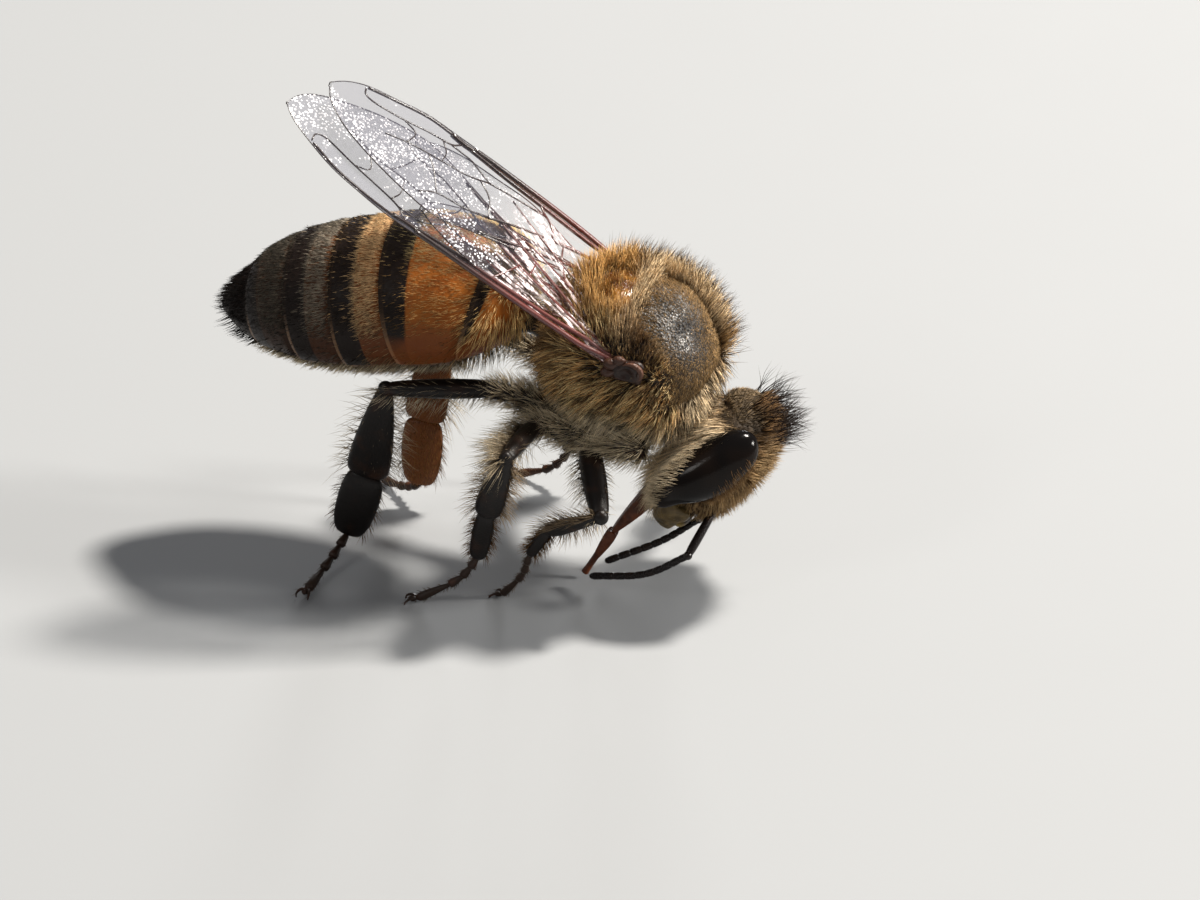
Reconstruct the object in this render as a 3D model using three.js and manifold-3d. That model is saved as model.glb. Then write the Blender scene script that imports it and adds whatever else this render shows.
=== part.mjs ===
// A worker honey bee at life size, standing on six feet with its head bent down to feed.
// Millimetres. +X is forward, +Y is the bee's left and +Z is up. Shapes are placed about the
// centre of the thorax, and the finished bee is then set down with its feet at z = 0.
// The body's solids reach to the tips of the coat that covers them.
import * as THREE from 'three';
import { mergeVertices } from 'three/addons/utils/BufferGeometryUtils.js';
import Module from 'manifold-3d';

const wasm = await Module();
wasm.setup();

// ---- driving dimensions -------------------------------------------------------------------
const STANCE = 5.6;           // centre of the thorax over the floor
const THIN = 0.5;             // least thickness of a leg or feeler
const GAP = 0.03;             // clearance where two pieces meet
const SMOOTHED = 0.004;       // facets that lie flatter than this are joined

const THORAX = { length: 4.5, width: 4.2, height: 4.5, pitch: 12 };
const TEGULA = { length: 1.0, width: 0.6, height: 0.64, forward: 0.3, out: 2.0, up: 0.5 };
const HEAD = { depth: 2.5, width: 3.5, height: 3.75 };
const EYE = { depth: 1.25, width: 1.0, height: 2.75, forward: -0.05, out: 1.42, up: -0.35, lean: 8 };
const ABDOMEN = { flatness: 0.82, rings: [0, 0.15, 0.385, 0.555, 0.71, 0.865, 1] };
const FOREWING = { length: 9.0, width: 2.84 };
const HINDWING = { length: 6.1, width: 1.8, behind: 0.6, beyond: 0.15, turn: 13 };
const WING_THICKNESS = 0.45;

const V = (x, y, z) => new THREE.Vector3(x, y, z);
const radians = THREE.MathUtils.degToRad;
const FLOOR = -STANCE;
const FOOT = FLOOR + 0.22;    // centre line of a foot that lies on the floor
const SIDES = { left: 1, right: -1 };

// ---- making solids ------------------------------------------------------------------------
// A closed geometry as a manifold-3d solid.
function solid(geometry) {
  const loose = geometry.index ? geometry.toNonIndexed() : geometry;
  const bare = new THREE.BufferGeometry().setAttribute('position', loose.getAttribute('position'));
  const merged = mergeVertices(bare, 1e-4);
  return new wasm.Manifold(new wasm.Mesh({
    numProp: 3,
    vertProperties: new Float32Array(merged.attributes.position.array),
    triVerts: new Uint32Array(merged.index.array),
  }));
}

// A manifold-3d solid as a geometry with flat facets.
function geometryOf(body) {
  const { numProp, numVert, vertProperties, triVerts } = body.getMesh();
  const places = new Float32Array(numVert * 3);
  for (let i = 0; i < numVert; i++) {
    places.set(vertProperties.subarray(i * numProp, i * numProp + 3), i * 3);
  }
  const geometry = new THREE.BufferGeometry();
  geometry.setAttribute('position', new THREE.BufferAttribute(places, 3));
  geometry.setIndex(new THREE.BufferAttribute(new Uint32Array(triVerts), 1));
  const facets = geometry.toNonIndexed();
  facets.computeVertexNormals();
  return facets;
}

// Moves every vertex of a geometry through a function.
function moved(geometry, move) {
  const places = geometry.getAttribute('position');
  const point = V(0, 0, 0);
  for (let i = 0; i < places.count; i++) {
    const to = move(point.fromBufferAttribute(places, i));
    places.setXYZ(i, to.x, to.y, to.z);
  }
  return geometry;
}

// The value at a place in a list of [place, value] pairs, straight between them.
function along(pairs, place) {
  const next = pairs.findIndex(([at]) => at >= place);
  if (next === 0) return pairs[0][1];
  if (next < 0) return pairs.at(-1)[1];
  const [[from, low], [to, high]] = [pairs[next - 1], pairs[next]];
  return low + (high - low) * (place - from) / (to - from);
}

// A round or oval limb swept along a path. widths lists [share of the path, half width] from
// the limb's start to its end. Its thickness is flat times its width, and never under THIN.
// broad points across the limb, along its width. grow moves its whole surface outwards.
function limb({ path, widths, flat = 1, broad = V(0, 1, 0), sides = 8 }, grow) {
  const curve = path.length > 2 ? new THREE.CatmullRomCurve3(path) : new THREE.LineCurve3(...path);
  const length = curve.getLength();
  const start = widths[0][0] - grow / length;
  const end = widths.at(-1)[0] + grow / length;
  const profile = [new THREE.Vector2(0, start)];
  for (const [share, half] of widths) {
    const place = share === widths[0][0] ? start : share === widths.at(-1)[0] ? end : share;
    profile.push(new THREE.Vector2(half + grow, place));
  }
  profile.push(new THREE.Vector2(0, end));
  return solid(moved(new THREE.LatheGeometry(profile, sides), (p) => {
    const share = Math.min(Math.max(p.y, 0), 1);
    const tangent = curve.getTangentAt(share);
    const centre = curve.getPointAt(share).addScaledVector(tangent, (p.y - share) * length);
    const thin = V(0, 0, 0).crossVectors(broad, tangent).normalize();
    const across = V(0, 0, 0).crossVectors(tangent, thin);
    const half = Math.hypot(p.x, p.z);
    const squash = half > 0 ? Math.max(flat, Math.min(1, THIN / 2 / half)) : flat;
    return centre.addScaledVector(across, p.x).addScaledVector(thin, p.z * squash);
  }));
}

// A rounded body of three half sizes: a ball reshaped by a function, then set in its place.
function pebble({ half, place, shape = (p) => p, columns = 20, rows = 14 }, grow) {
  return solid(moved(new THREE.SphereGeometry(1, columns, rows), (p) => {
    const q = shape(p.clone());
    return V(q.x * (half.x + grow), q.y * (half.y + grow), q.z * (half.z + grow)).applyMatrix4(place);
  }));
}

// A flat outline as a polygon, with its edge moved outwards.
function wider(outline, grow) {
  const points = outline.extractPoints(5).shape;
  const turning = THREE.ShapeUtils.isClockWise(points) ? -1 : 1;
  return new THREE.Shape(points.map((point, i) => {
    const edge = points[(i + 1) % points.length].clone().sub(points.at(i - 1)).normalize();
    return new THREE.Vector2(point.x + edge.y * grow * turning, point.y - edge.x * grow * turning);
  }));
}

// A wing as a flat plate. Its outline's x runs along span, and y along chord, from the root.
function blade({ outline, root, span, chord }, grow) {
  const depth = WING_THICKNESS + 2 * grow;
  const plate = new THREE.ExtrudeGeometry(wider(outline, grow), { depth, bevelEnabled: false });
  plate.translate(0, 0, -depth / 2);
  const frame = new THREE.Matrix4().makeBasis(span, chord, V(0, 0, 0).crossVectors(span, chord));
  return solid(plate.applyMatrix4(frame.setPosition(root)));
}

// ---- materials ----------------------------------------------------------------------------
const finish = (color, roughness) =>
  () => new THREE.MeshStandardMaterial({ color, roughness, metalness: 0 });
const FINISH = {
  fur: finish(0x7a5a2e, 0.9),
  amber: finish(0xb06a1c, 0.6),
  dusk: finish(0x4a3a24, 0.7),
  black: finish(0x14100c, 0.6),
  horn: finish(0x1c140f, 0.4),
  redHorn: finish(0x7a2f12, 0.4),
  eye: finish(0x0a0908, 0.15),
  wing: finish(0xc9c6bd, 0.25),
};

// ---- the list of pieces -------------------------------------------------------------------
// Each piece is made by a function of how far its surface is grown. A piece is cut back by
// every piece listed before it, so that GAP is left between them.
const pieces = [];
function piece(group, name, material, make) {
  pieces.push({ group, name, material, make });
}

// ---- thorax: narrower below and behind, pitched nose down ---------------------------------
const thoraxPitch = new THREE.Matrix4().makeRotationY(radians(THORAX.pitch));
piece('thorax', 'thorax', FINISH.fur, (grow) => pebble({
  half: V(THORAX.length, THORAX.width, THORAX.height).divideScalar(2),
  shape: (p) => {
    const below = Math.max(0, -p.z);
    const behind = Math.max(0, -p.x);
    p.x *= 1 - 0.05 * below;
    p.y *= 1 - 0.22 * below;
    p.z *= 1 - 0.16 * behind * behind;
    return p;
  },
  columns: 26,
  rows: 18,
  place: thoraxPitch,
}, grow));

// The small shells over the wing roots.
for (const [side, sign] of Object.entries(SIDES)) {
  piece('thorax', `tegula_${side}`, FINISH.redHorn, (grow) => pebble({
    half: V(TEGULA.length, TEGULA.width, TEGULA.height).divideScalar(2),
    columns: 10,
    rows: 8,
    place: new THREE.Matrix4().makeTranslation(TEGULA.forward, sign * TEGULA.out, TEGULA.up),
  }, grow));
}

// ---- head: bent down and turned a little to the right -------------------------------------
// Its own axes are forward out of the face, left, and up from the mouth to the crown.
const headLeft = V(-0.142, 0.945, -0.292).normalize();
const headForward = V(0, 0, 0).crossVectors(headLeft, V(0.641, 0.3125, 0.701)).normalize();
const headUp = V(0, 0, 0).crossVectors(headForward, headLeft);
const headFrame = new THREE.Matrix4()
  .makeBasis(headForward, headLeft, headUp)
  .setPosition(V(1.9, 0.03, -2.3));
const onHead = (forward, left, up) => V(forward, left, up).applyMatrix4(headFrame);

for (const [side, sign] of Object.entries(SIDES)) {
  piece('head', `eye_${side}`, FINISH.eye, (grow) => pebble({
    half: V(EYE.depth, EYE.width, EYE.height).divideScalar(2),
    shape: (p) => {
      p.x += 0.14 * (1 - p.z * p.z);
      return p;
    },
    columns: 14,
    rows: 12,
    place: headFrame.clone()
      .multiply(new THREE.Matrix4().makeTranslation(EYE.forward, sign * EYE.out, EYE.up))
      .multiply(new THREE.Matrix4().makeRotationY(radians(EYE.lean))),
  }, grow));
}
piece('head', 'head', FINISH.fur, (grow) => pebble({
  half: V(HEAD.depth, HEAD.width, HEAD.height).divideScalar(2),
  shape: (p) => {
    const low = Math.max(0, -p.z);
    p.y *= 1 - 0.5 * low * low;
    p.x *= 1 - 0.25 * low;
    p.x -= 0.1 * p.z;
    return p;
  },
  columns: 22,
  rows: 16,
  place: headFrame,
}, grow));

// Mouthparts: the lip, the jaws, and the tongue folded down and back to the floor.
piece('head', 'labrum', FINISH.horn, (grow) => limb({
  path: [onHead(0.42, 0, -1.5), onHead(0.36, 0, -1.95)],
  widths: [[0, 0.42], [0.6, 0.42], [1, 0.25]],
  flat: 0.6,
  broad: headLeft,
}, grow));
for (const [side, sign] of Object.entries(SIDES)) {
  piece('head', `mandible_${side}`, FINISH.horn, (grow) => limb({
    path: [
      onHead(0.05, sign * 0.72, -1.35),
      onHead(0.1, sign * 0.55, -1.75),
      onHead(0.12, sign * 0.3, -2.15),
    ],
    widths: [[0, 0.3], [0.4, 0.26], [0.8, 0.3], [1, 0.25]],
    flat: 0.8,
    broad: headLeft,
  }, grow));
}
const tongueBend = V(-0.35, -0.35, -4.35);
piece('head', 'proboscis_base', FINISH.redHorn, (grow) => limb({
  path: [onHead(-0.55, 0, -1.2), V(0.1, -0.25, -3.6), tongueBend],
  widths: [[0, 0.36], [0.5, 0.42], [1, 0.3]],
  flat: 0.8,
  broad: headLeft,
}, grow));
piece('head', 'tongue', FINISH.redHorn, (grow) => limb({
  path: [tongueBend, V(-1, -0.5, FLOOR + 0.48)],
  widths: [[0, 0.3], [0.6, 0.26], [1, 0.25]],
}, grow));

// Antennae: the scape down out of the face, then the elbow and the flagellum swept back.
const ANTENNAE = {
  left: [onHead(0.7, 0.28, -0.85), V(1.27, 0.75, -4.45), V(0.5, 0.45, -4.95), V(-0.5, -0.02, -5.3)],
  right: [onHead(0.7, -0.28, -0.85), V(1.62, -1.59, -4.03), V(0.6, -1.35, -4.78), V(-0.6, -1, -5.2)],
};
for (const side of Object.keys(SIDES)) {
  const [root, elbow, middle, tip] = ANTENNAE[side];
  const half = THIN / 2;
  piece('head', `scape_${side}`, FINISH.horn, (grow) => limb({
    path: [root, elbow],
    widths: [[0, half], [1, half]],
  }, grow));
  piece('head', `flagellum_${side}`, FINISH.horn, (grow) => limb({
    path: [elbow, middle, tip],
    widths: [[0, half], [0.33, half], [0.66, half], [1, half]],
  }, grow));
}

// ---- abdomen: rings along one drooping line, and the waist --------------------------------
const spine = [
  V(-2.4, 0, 0.4), V(-3.5, 0, 0.85), V(-4.6, 0, 0.85), V(-5.7, 0, 0.64),
  V(-7.5, 0, 0.3), V(-8.5, 0, 0.04), V(-9.4, 0, -0.1),
];
const girth = [
  [0, 0.45], [0.04, 1.05], [0.1, 1.65], [0.18, 2.0], [0.3, 2.12], [0.46, 2.1],
  [0.6, 2.0], [0.72, 1.8], [0.82, 1.45], [0.9, 1.0], [0.96, 0.55], [1, 0.12],
];
const halfGap = GAP / 2 / new THREE.CatmullRomCurve3(spine).getLength();
ABDOMEN.rings.slice(1).forEach((rim, ring) => {
  const from = ABDOMEN.rings[ring] + halfGap;
  const to = rim - halfGap;
  const between = girth.filter(([share]) => share > from + 0.01 && share < to - 0.01);
  const material = ring < 3 ? FINISH.amber : ring < 5 ? FINISH.dusk : FINISH.black;
  piece('abdomen', `abdomen_${ring + 1}`, material, (grow) => limb({
    path: spine,
    widths: [[from, along(girth, from)], ...between, [to, along(girth, to)]],
    flat: ABDOMEN.flatness,
    sides: 24,
  }, grow));
});
piece('abdomen', 'waist', FINISH.horn, (grow) => limb({
  path: [V(-1.9, 0, 0.1).applyMatrix4(thoraxPitch), V(-2.7, 0, 0.5)],
  widths: [[0, 0.5], [1, 0.5]],
}, grow));

// ---- legs ---------------------------------------------------------------------------------
// Each leg's joints: root, hip, knee, ankle, heel, and the bend and end of the foot.
const LEGS = {
  front: {
    right: [[0.6, -0.75, -1.5], [-0.75, -1.1, -1.85], [-0.05, -2.65, -2.7], [-1.35, -2.2, -3.5],
      [-1.85, -2.1, -4.25], [-2, -1.9, -5.1], [-2.55, -1.75, FOOT]],
    left: [[1.1, 0.75, -1.5], [0.9, 1.3, -2.1], [1.2, 2.6, -2.3], [0.6, 2.9, -3.8],
      [0.3, 2.9, -4.6], [0.35, 2.95, -5.15], [0.9, 3.1, FOOT]],
    half: { femur: 0.33, tibia: 0.28, basitarsus: 0.25 },
    flat: 0.9,
  },
  middle: {
    right: [[-0.5, -0.75, -1.6], [-1.85, -1.3, -1.35], [-1.97, -3.2, -1.25], [-2.6, -2.63, -3.05],
      [-3, -2.25, -4.4], [-3.35, -2.25, -5.1], [-4.25, -2.45, FOOT]],
    left: [[-0.5, 0.75, -1.6], [-1.4, 1.4, -1.75], [-1.7, 3.1, -1.3], [-2.1, 3.3, -3.3],
      [-2.4, 3.2, -4.6], [-2.7, 3.25, -5.15], [-3.6, 3.5, FOOT]],
    half: { femur: 0.32, tibia: 0.38, basitarsus: 0.32 },
    flat: 0.85,
  },
  hind: {
    right: [[-1.3, -0.7, -1.35], [-2.63, -1.1, -0.74], [-5.18, -1.62, -0.82], [-5.82, -0.95, -3.45],
      [-6.35, -0.95, -5], [-6.5, -1.6, -5.33], [-6.7, -2.7, FOOT]],
    left: [[-1.3, 0.7, -1.35], [-2.5, 1.15, -0.85], [-4.9, 2.05, -0.7], [-5.27, 1.7, -3.4],
      [-5.42, 1.6, -4.95], [-5.75, 1.8, -5.3], [-6.4, 2.4, FOOT]],
    half: { femur: 0.36, tibia: 0.56, basitarsus: 0.58 },
    flat: 0.5,
  },
};
const legBroad = V(1, 0, 0.1); // the broad faces of the shins look out to the sides
for (const [pair, leg] of Object.entries(LEGS)) {
  for (const side of Object.keys(SIDES)) {
    const [root, hip, knee, ankle, heel, bend, foot] = leg[side].map((place) => V(...place));
    const { femur, tibia, basitarsus } = leg.half;
    const segment = (name, path, widths, flat) => {
      piece(`${pair}_leg_${side}`, `${pair}_${name}_${side}`, FINISH.horn,
        (grow) => limb({ path, widths, flat, broad: legBroad }, grow));
    };
    segment('femur', [hip, knee], [[0, 0.25], [0.15, 0.3], [0.5, femur], [0.85, 0.27], [1, 0.25]], 0.9);
    segment('coxa', [root, hip], [[0, 0.45], [0.5, 0.42], [1, 0.3]], 1);
    segment('tibia', [knee, ankle],
      [[0, 0.25], [0.3, 0.4 * tibia + 0.15], [0.85, tibia], [1, 0.9 * tibia]], leg.flat);
    segment('basitarsus', [ankle, heel],
      [[0, 0.8 * basitarsus], [0.2, basitarsus], [0.8, 0.92 * basitarsus], [1, 0.7 * basitarsus]],
      leg.flat);
    segment('tarsus', [heel, bend, foot], [[0, 0.25], [0.35, 0.25], [0.7, 0.25], [1, 0.25]], 1);
  }
}

// ---- wings: raised over the back, the right one lying over the left -----------------------
// The outlines are drawn for a length of 1, with the leading edge along y = 0.
function outlineOf({ length, width }, start, curves) {
  const shape = new THREE.Shape();
  shape.moveTo(start[0] * length, start[1] * width);
  for (const [cx, cy, x, y] of curves) {
    shape.quadraticCurveTo(cx * length, cy * width, x * length, y * width);
  }
  return shape;
}
const forewing = outlineOf(FOREWING, [0, -0.02], [
  [0.35, -0.06, 0.7, 0.02], [0.94, 0.16, 1, 0.46], [0.99, 0.72, 0.88, 0.84],
  [0.77, 0.98, 0.65, 1], [0.62, 0.99, 0.59, 0.96], [0.3, 0.58, 0.05, 0.21], [0.02, 0.15, 0, 0.1],
]);
const hindwing = outlineOf(HINDWING, [0, 0], [
  [0.35, 0, 0.69, 0.02], [0.95, 0.17, 1, 0.45], [0.9, 0.83, 0.68, 0.94],
  [0.42, 1.08, 0.24, 0.83], [0.08, 0.61, 0, 0.2],
]);
const WINGS = {
  right: { root: V(-0.07, -1.72, 0.52), span: V(-0.8, -0.155, 0.59), chord: V(-0.031, 0.976, 0.217) },
  left: { root: V(-0.03, 1.72, 0.58), span: V(-0.729, -0.169, 0.664), chord: V(-0.004, -0.968, -0.25) },
};
for (const side of Object.keys(SIDES)) {
  const root = WINGS[side].root;
  const span = WINGS[side].span.normalize();
  const chord = WINGS[side].chord.addScaledVector(span, -WINGS[side].chord.dot(span)).normalize();
  const normal = V(0, 0, 0).crossVectors(span, chord);
  const turn = radians(HINDWING.turn);
  piece(`wings_${side}`, `forewing_${side}`, FINISH.wing,
    (grow) => blade({ outline: forewing, root, span, chord }, grow));
  piece(`wings_${side}`, `hindwing_${side}`, FINISH.wing, (grow) => blade({
    outline: hindwing,
    root: root.clone().addScaledVector(span, HINDWING.beyond).addScaledVector(chord, HINDWING.behind),
    span: span.clone().applyAxisAngle(normal, turn),
    chord: chord.clone().applyAxisAngle(normal, turn),
  }, grow));
}

// ---- cutting, and the finished bee --------------------------------------------------------
const meet = (a, b) => [0, 1, 2].every((i) => a.min[i] <= b.max[i] && b.min[i] <= a.max[i]);
const underfloor = solid(new THREE.BoxGeometry(60, 60, 4).translate(0, 0, FLOOR - 2));
const bee = new THREE.Group();
const groups = new Map();
const cutters = [];
for (const { group, name, material, make } of pieces) {
  let body = make(0).subtract(underfloor);
  for (const cutter of cutters) {
    if (meet(body.boundingBox(), cutter.boundingBox())) body = body.subtract(cutter);
  }
  const largest = body.simplify(SMOOTHED).decompose().reduce((a, b) => (b.volume() > a.volume() ? b : a));
  cutters.push(make(GAP));
  const mesh = new THREE.Mesh(geometryOf(largest), material());
  mesh.name = name;
  if (!groups.has(group)) {
    groups.set(group, new THREE.Group());
    bee.add(groups.get(group));
  }
  groups.get(group).add(mesh);
}
const middle = new THREE.Box3().setFromObject(bee).getCenter(V(0, 0, 0));
bee.position.set(-middle.x, -middle.y, STANCE);

export default bee;
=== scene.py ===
"""A worker honey bee, life size, as a still museum model: shell plates, wings and a coat of fur
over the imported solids. Places are in millimetres about the centre of the thorax, where +X is
forward, +Y is the bee's left and +Z is up, and they are turned into metres as meshes are made."""
import math

import bpy
import numpy as np
from mathutils import Matrix, Vector
from mathutils.kdtree import KDTree


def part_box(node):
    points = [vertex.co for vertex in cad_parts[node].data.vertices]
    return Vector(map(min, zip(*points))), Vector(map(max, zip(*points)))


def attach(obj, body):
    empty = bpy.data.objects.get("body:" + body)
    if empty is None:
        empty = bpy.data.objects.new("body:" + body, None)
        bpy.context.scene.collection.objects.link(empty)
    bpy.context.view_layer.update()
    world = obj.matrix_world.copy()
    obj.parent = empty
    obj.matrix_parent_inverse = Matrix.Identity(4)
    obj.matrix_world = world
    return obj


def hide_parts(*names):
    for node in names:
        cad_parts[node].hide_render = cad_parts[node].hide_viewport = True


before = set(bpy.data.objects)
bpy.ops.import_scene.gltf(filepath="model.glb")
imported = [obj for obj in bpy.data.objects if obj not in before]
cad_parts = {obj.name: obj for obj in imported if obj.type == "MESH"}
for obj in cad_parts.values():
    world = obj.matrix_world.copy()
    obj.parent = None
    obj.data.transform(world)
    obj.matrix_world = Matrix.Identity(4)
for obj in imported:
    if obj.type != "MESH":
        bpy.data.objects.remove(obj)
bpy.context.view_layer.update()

MM = 0.001
STANCE = 5.6  # centre of the thorax over the floor
TEGULA_FORWARD = 0.3  # the wing-root shells, ahead of the thorax's centre
SIDES = {"left": 1, "right": -1}
PAIRS = ("front", "middle", "hind")
# Hairs in each coat, and the seed of its random draws.
THORAX_FUR = 32000, 11  # in three pieces
STUBBLE = 8500, 12
GUARD_HAIRS = 1100, 13
HEAD_FUR = 15000, 23
CROWN_BRISTLES = 400, 29
LASHES = 1300, 61
ABDOMEN_FUR = 34000, 37  # in two
LEG_SEED, LEFT_LEG_SEED = 50, 90  # each leg part takes the next seed


def middle_of(node):
    low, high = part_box(node)
    return (low + high) / 2


ORIGIN = Vector(
    (middle_of("tegula_right").x - TEGULA_FORWARD * MM, middle_of("thorax").y, STANCE * MM)
)


def vec(*numbers):
    return np.array(numbers, float)


def unit(rows):
    rows = np.asarray(rows, float)
    return rows / np.maximum(np.linalg.norm(rows, axis=-1, keepdims=True), 1e-12)


def to_mm(points):
    """Points of the frame, in metres, as millimetres about the thorax's centre."""
    return (np.asarray(points, float) - np.array(ORIGIN)) / MM


def to_frame(points):
    return np.asarray(points, float) * MM + np.array(ORIGIN)


def read(mesh, name):
    """A vector for each vertex of a mesh: its place or its normal."""
    values = np.empty(len(mesh.vertices) * 3)
    mesh.vertices.foreach_get(name, values)
    return values.reshape(-1, 3)


def places_of(piece):
    return to_mm(read(piece.data, "co"))


def move_to(piece, places):
    piece.data.vertices.foreach_set("co", to_frame(places).ravel())
    piece.data.update()


def ends_of(node, share=0.12):
    """The two ends of a long node, along its longest direction."""
    points = places_of(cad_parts[node])
    centre = points.mean(0)
    axis = np.linalg.svd(points - centre, full_matrices=False)[2][0]
    reach = (points - centre) @ axis
    low, high = reach.min(), reach.max()
    near = points[reach < low + share * (high - low)].mean(0)
    far = points[reach > high - share * (high - low)].mean(0)
    shift = centre + axis * low - near, centre + axis * high - far
    return near + axis * (shift[0] @ axis), far + axis * (shift[1] @ axis)


def smooth(values, low, high):
    """0 below low and 1 above high, with an easy curve between."""
    t = np.clip((np.asarray(values, float) - low) / (high - low), 0, 1)
    return t * t * (3 - 2 * t)


def bell(values, centre, width, power=2):
    """1 at the centre, fading on both sides over a width."""
    return np.exp(-(((values - centre) / width) ** power))


def blend(a, b, share):
    return np.asarray(a) * (1 - share) + np.asarray(b) * share


# ---- shader maths: sockets with arithmetic -----------------------------------------------------
def maths(operation, flipped=False):
    """An arithmetic method for Tone, which adds a Math node."""

    def work(self, other):
        values = (other, self) if flipped else (self, other)
        return self.paint.make("ShaderNodeMath", {"operation": operation}, values)

    return work


class Tone:
    """One output socket of a material, which adds nodes as it is worked on."""

    def __init__(self, paint, socket):
        self.paint = paint
        self.socket = socket

    __add__ = __radd__ = maths("ADD")
    __sub__ = maths("SUBTRACT")
    __rsub__ = maths("SUBTRACT", flipped=True)
    __mul__ = __rmul__ = maths("MULTIPLY")
    largest = maths("MAXIMUM")
    smallest = maths("MINIMUM")

    def step(self, low, high):
        """0 under low and 1 over high, smoothly."""
        settings = {"interpolation_type": "SMOOTHSTEP"}
        return self.paint.make("ShaderNodeMapRange", settings, (self, low, high, 0.0, 1.0))


class Paint:
    """A material under way: its nodes are made one at a time."""

    def __init__(self, name):
        self.material = bpy.data.materials.new(name)
        self.material.use_nodes = True
        self.tree = self.material.node_tree
        self.tree.nodes.clear()

    def make(self, kind, settings=None, values=(), output=0):
        """Adds a node, makes its settings, and fills its sockets with numbers, colours or tones."""
        node = self.tree.nodes.new(kind)
        for key, value in (settings or {}).items():
            setattr(node, key, value)
        pairs = values.items() if isinstance(values, dict) else enumerate(values)
        for key, value in pairs:
            if isinstance(value, Tone):
                self.tree.links.new(value.socket, node.inputs[key])
            else:
                node.inputs[key].default_value = value
        return Tone(self, node.outputs[output]) if len(node.outputs) else None

    def attribute(self, name, output="Fac"):
        return self.make("ShaderNodeAttribute", {"attribute_name": name}, output=output)

    def grid(self, size):
        """Object coordinates, in steps of size millimetres."""
        place = self.make("ShaderNodeTexCoord", output="Object")
        return {"Vector": place, "Scale": 1 / (size * MM)}

    def noise(self, size, detail=3.0, roughness=0.5):
        """Soft noise whose lumps are about size millimetres across."""
        values = {**self.grid(size), "Detail": detail, "Roughness": roughness}
        return self.make("ShaderNodeTexNoise", None, values, "Fac")

    def cells(self, size):
        """Cells about size millimetres across, dark in their middles."""
        return self.make("ShaderNodeTexVoronoi", None, self.grid(size), "Distance")

    def mix(self, share, first, second, way="MIX"):
        """A colour between two colours, or their product."""
        first, second = ((*c, 1.0) if isinstance(c, tuple) else c for c in (first, second))
        settings = {"data_type": "RGBA", "clamp_factor": True, "blend_type": way}
        return self.make("ShaderNodeMix", settings, {0: share, 6: first, 7: second}, 2)

    def bump(self, height, depth, strength):
        """A bump whose full height stands depth millimetres proud."""
        values = {"Strength": strength, "Distance": depth * MM, "Height": height}
        return self.make("ShaderNodeBump", None, values)

    def finish(self, **sockets):
        """Ends in a Principled surface. Its sockets are named with underscores for spaces."""
        values = {key.replace("_", " "): value for key, value in sockets.items()}
        surface = self.make("ShaderNodeBsdfPrincipled", None, values)
        self.make("ShaderNodeOutputMaterial", None, {"Surface": surface})
        return self.material


# ---- colours ------------------------------------------------------------------------------------
AMBER = (0.235, 0.064, 0.009)
ORANGE = (0.33, 0.105, 0.016)
UMBER = (0.085, 0.030, 0.010)
PITCH = (0.010, 0.006, 0.0045)
HORN = (0.0055, 0.0036, 0.0028)
RED_HORN = (0.12, 0.030, 0.010)
STRAW = (0.42, 0.30, 0.10)
MARGIN = (0.36, 0.20, 0.10)
DULL_STAGE = (0.255, 0.265, 0.275)

HAIR_GOLD = vec(0.46, 0.29, 0.12)
HAIR_STRAW = vec(0.72, 0.54, 0.27)
HAIR_TAN = vec(0.42, 0.28, 0.13)
HAIR_ORANGE = vec(0.50, 0.28, 0.085)
HAIR_CREAM = vec(0.72, 0.60, 0.41)
HAIR_GREY = vec(0.40, 0.34, 0.26)
HAIR_BROWN = vec(0.13, 0.068, 0.026)
HAIR_OLIVE = vec(0.12, 0.083, 0.045)
HAIR_DARK = vec(0.013, 0.008, 0.006)


def horn_paint(name, dark=HORN, light=UMBER, roughness=0.40, thin=0.35):
    """Black-brown leg and feeler shell, browner in patches, finely pitted, and orange-brown where
    a hind leg's inner face is marked."""
    paint = Paint(name)
    pits = paint.noise(0.035, 2.0)
    colour = paint.mix(paint.noise(0.5).step(0.5, 0.85) * thin, dark, light)
    return paint.finish(
        Base_Color=paint.mix(paint.attribute("inner"), colour, (0.17, 0.055, 0.012)),
        Roughness=roughness + (pits - 0.5) * 0.25,
        Specular_IOR_Level=0.26,
        Normal=paint.bump(pits, 0.012, 0.5),
    )


def thorax_paint():
    """Dark shell, worn bare and speckled over the back, lighter there as a painted highlight where it is
    polished, with an amber swelling behind.
    """
    paint = Paint("thorax_shell_paint")
    shine, spot = paint.attribute("shine"), paint.attribute("spot")
    grain = paint.cells(0.055)
    soft = paint.noise(0.35)
    speckle = paint.noise(0.055, 2.0, 0.8).step(0.50, 0.56)
    cloud = paint.noise(0.45, 2.0).step(0.42, 0.66)
    ground = paint.mix(soft.step(0.35, 0.7), PITCH, (0.040, 0.024, 0.013))
    # Painted highlight: where the bare back is polished, its speckles are paler and near-white glints are
    # added.
    dull = paint.mix(speckle * 0.7, (0.012, 0.008, 0.005), (0.090, 0.062, 0.036))
    bright = paint.mix(speckle * (0.15 + cloud * 0.7), (0.004, 0.003, 0.003), (0.22, 0.195, 0.17))
    glitter = paint.noise(0.048, 2.0, 0.8).step(0.54, 0.58) * cloud * shine
    worn = paint.mix(glitter, paint.mix(shine, dull, bright), (0.95, 0.92, 0.88))
    shell = paint.mix(paint.attribute("bare"), ground, worn)
    amber = paint.mix(soft.step(0.35, 0.65), (0.09, 0.030, 0.006), (0.24, 0.105, 0.017))
    return paint.finish(
        Base_Color=paint.mix(spot, shell, amber),
        Roughness=0.50 - shine * 0.24 - spot * 0.32 + (grain - 0.4) * 0.3,
        Specular_IOR_Level=0.55,
        Normal=paint.bump((grain + speckle * 0.5) * (1 - spot * 0.8), 0.024, 0.9),
    )


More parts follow.
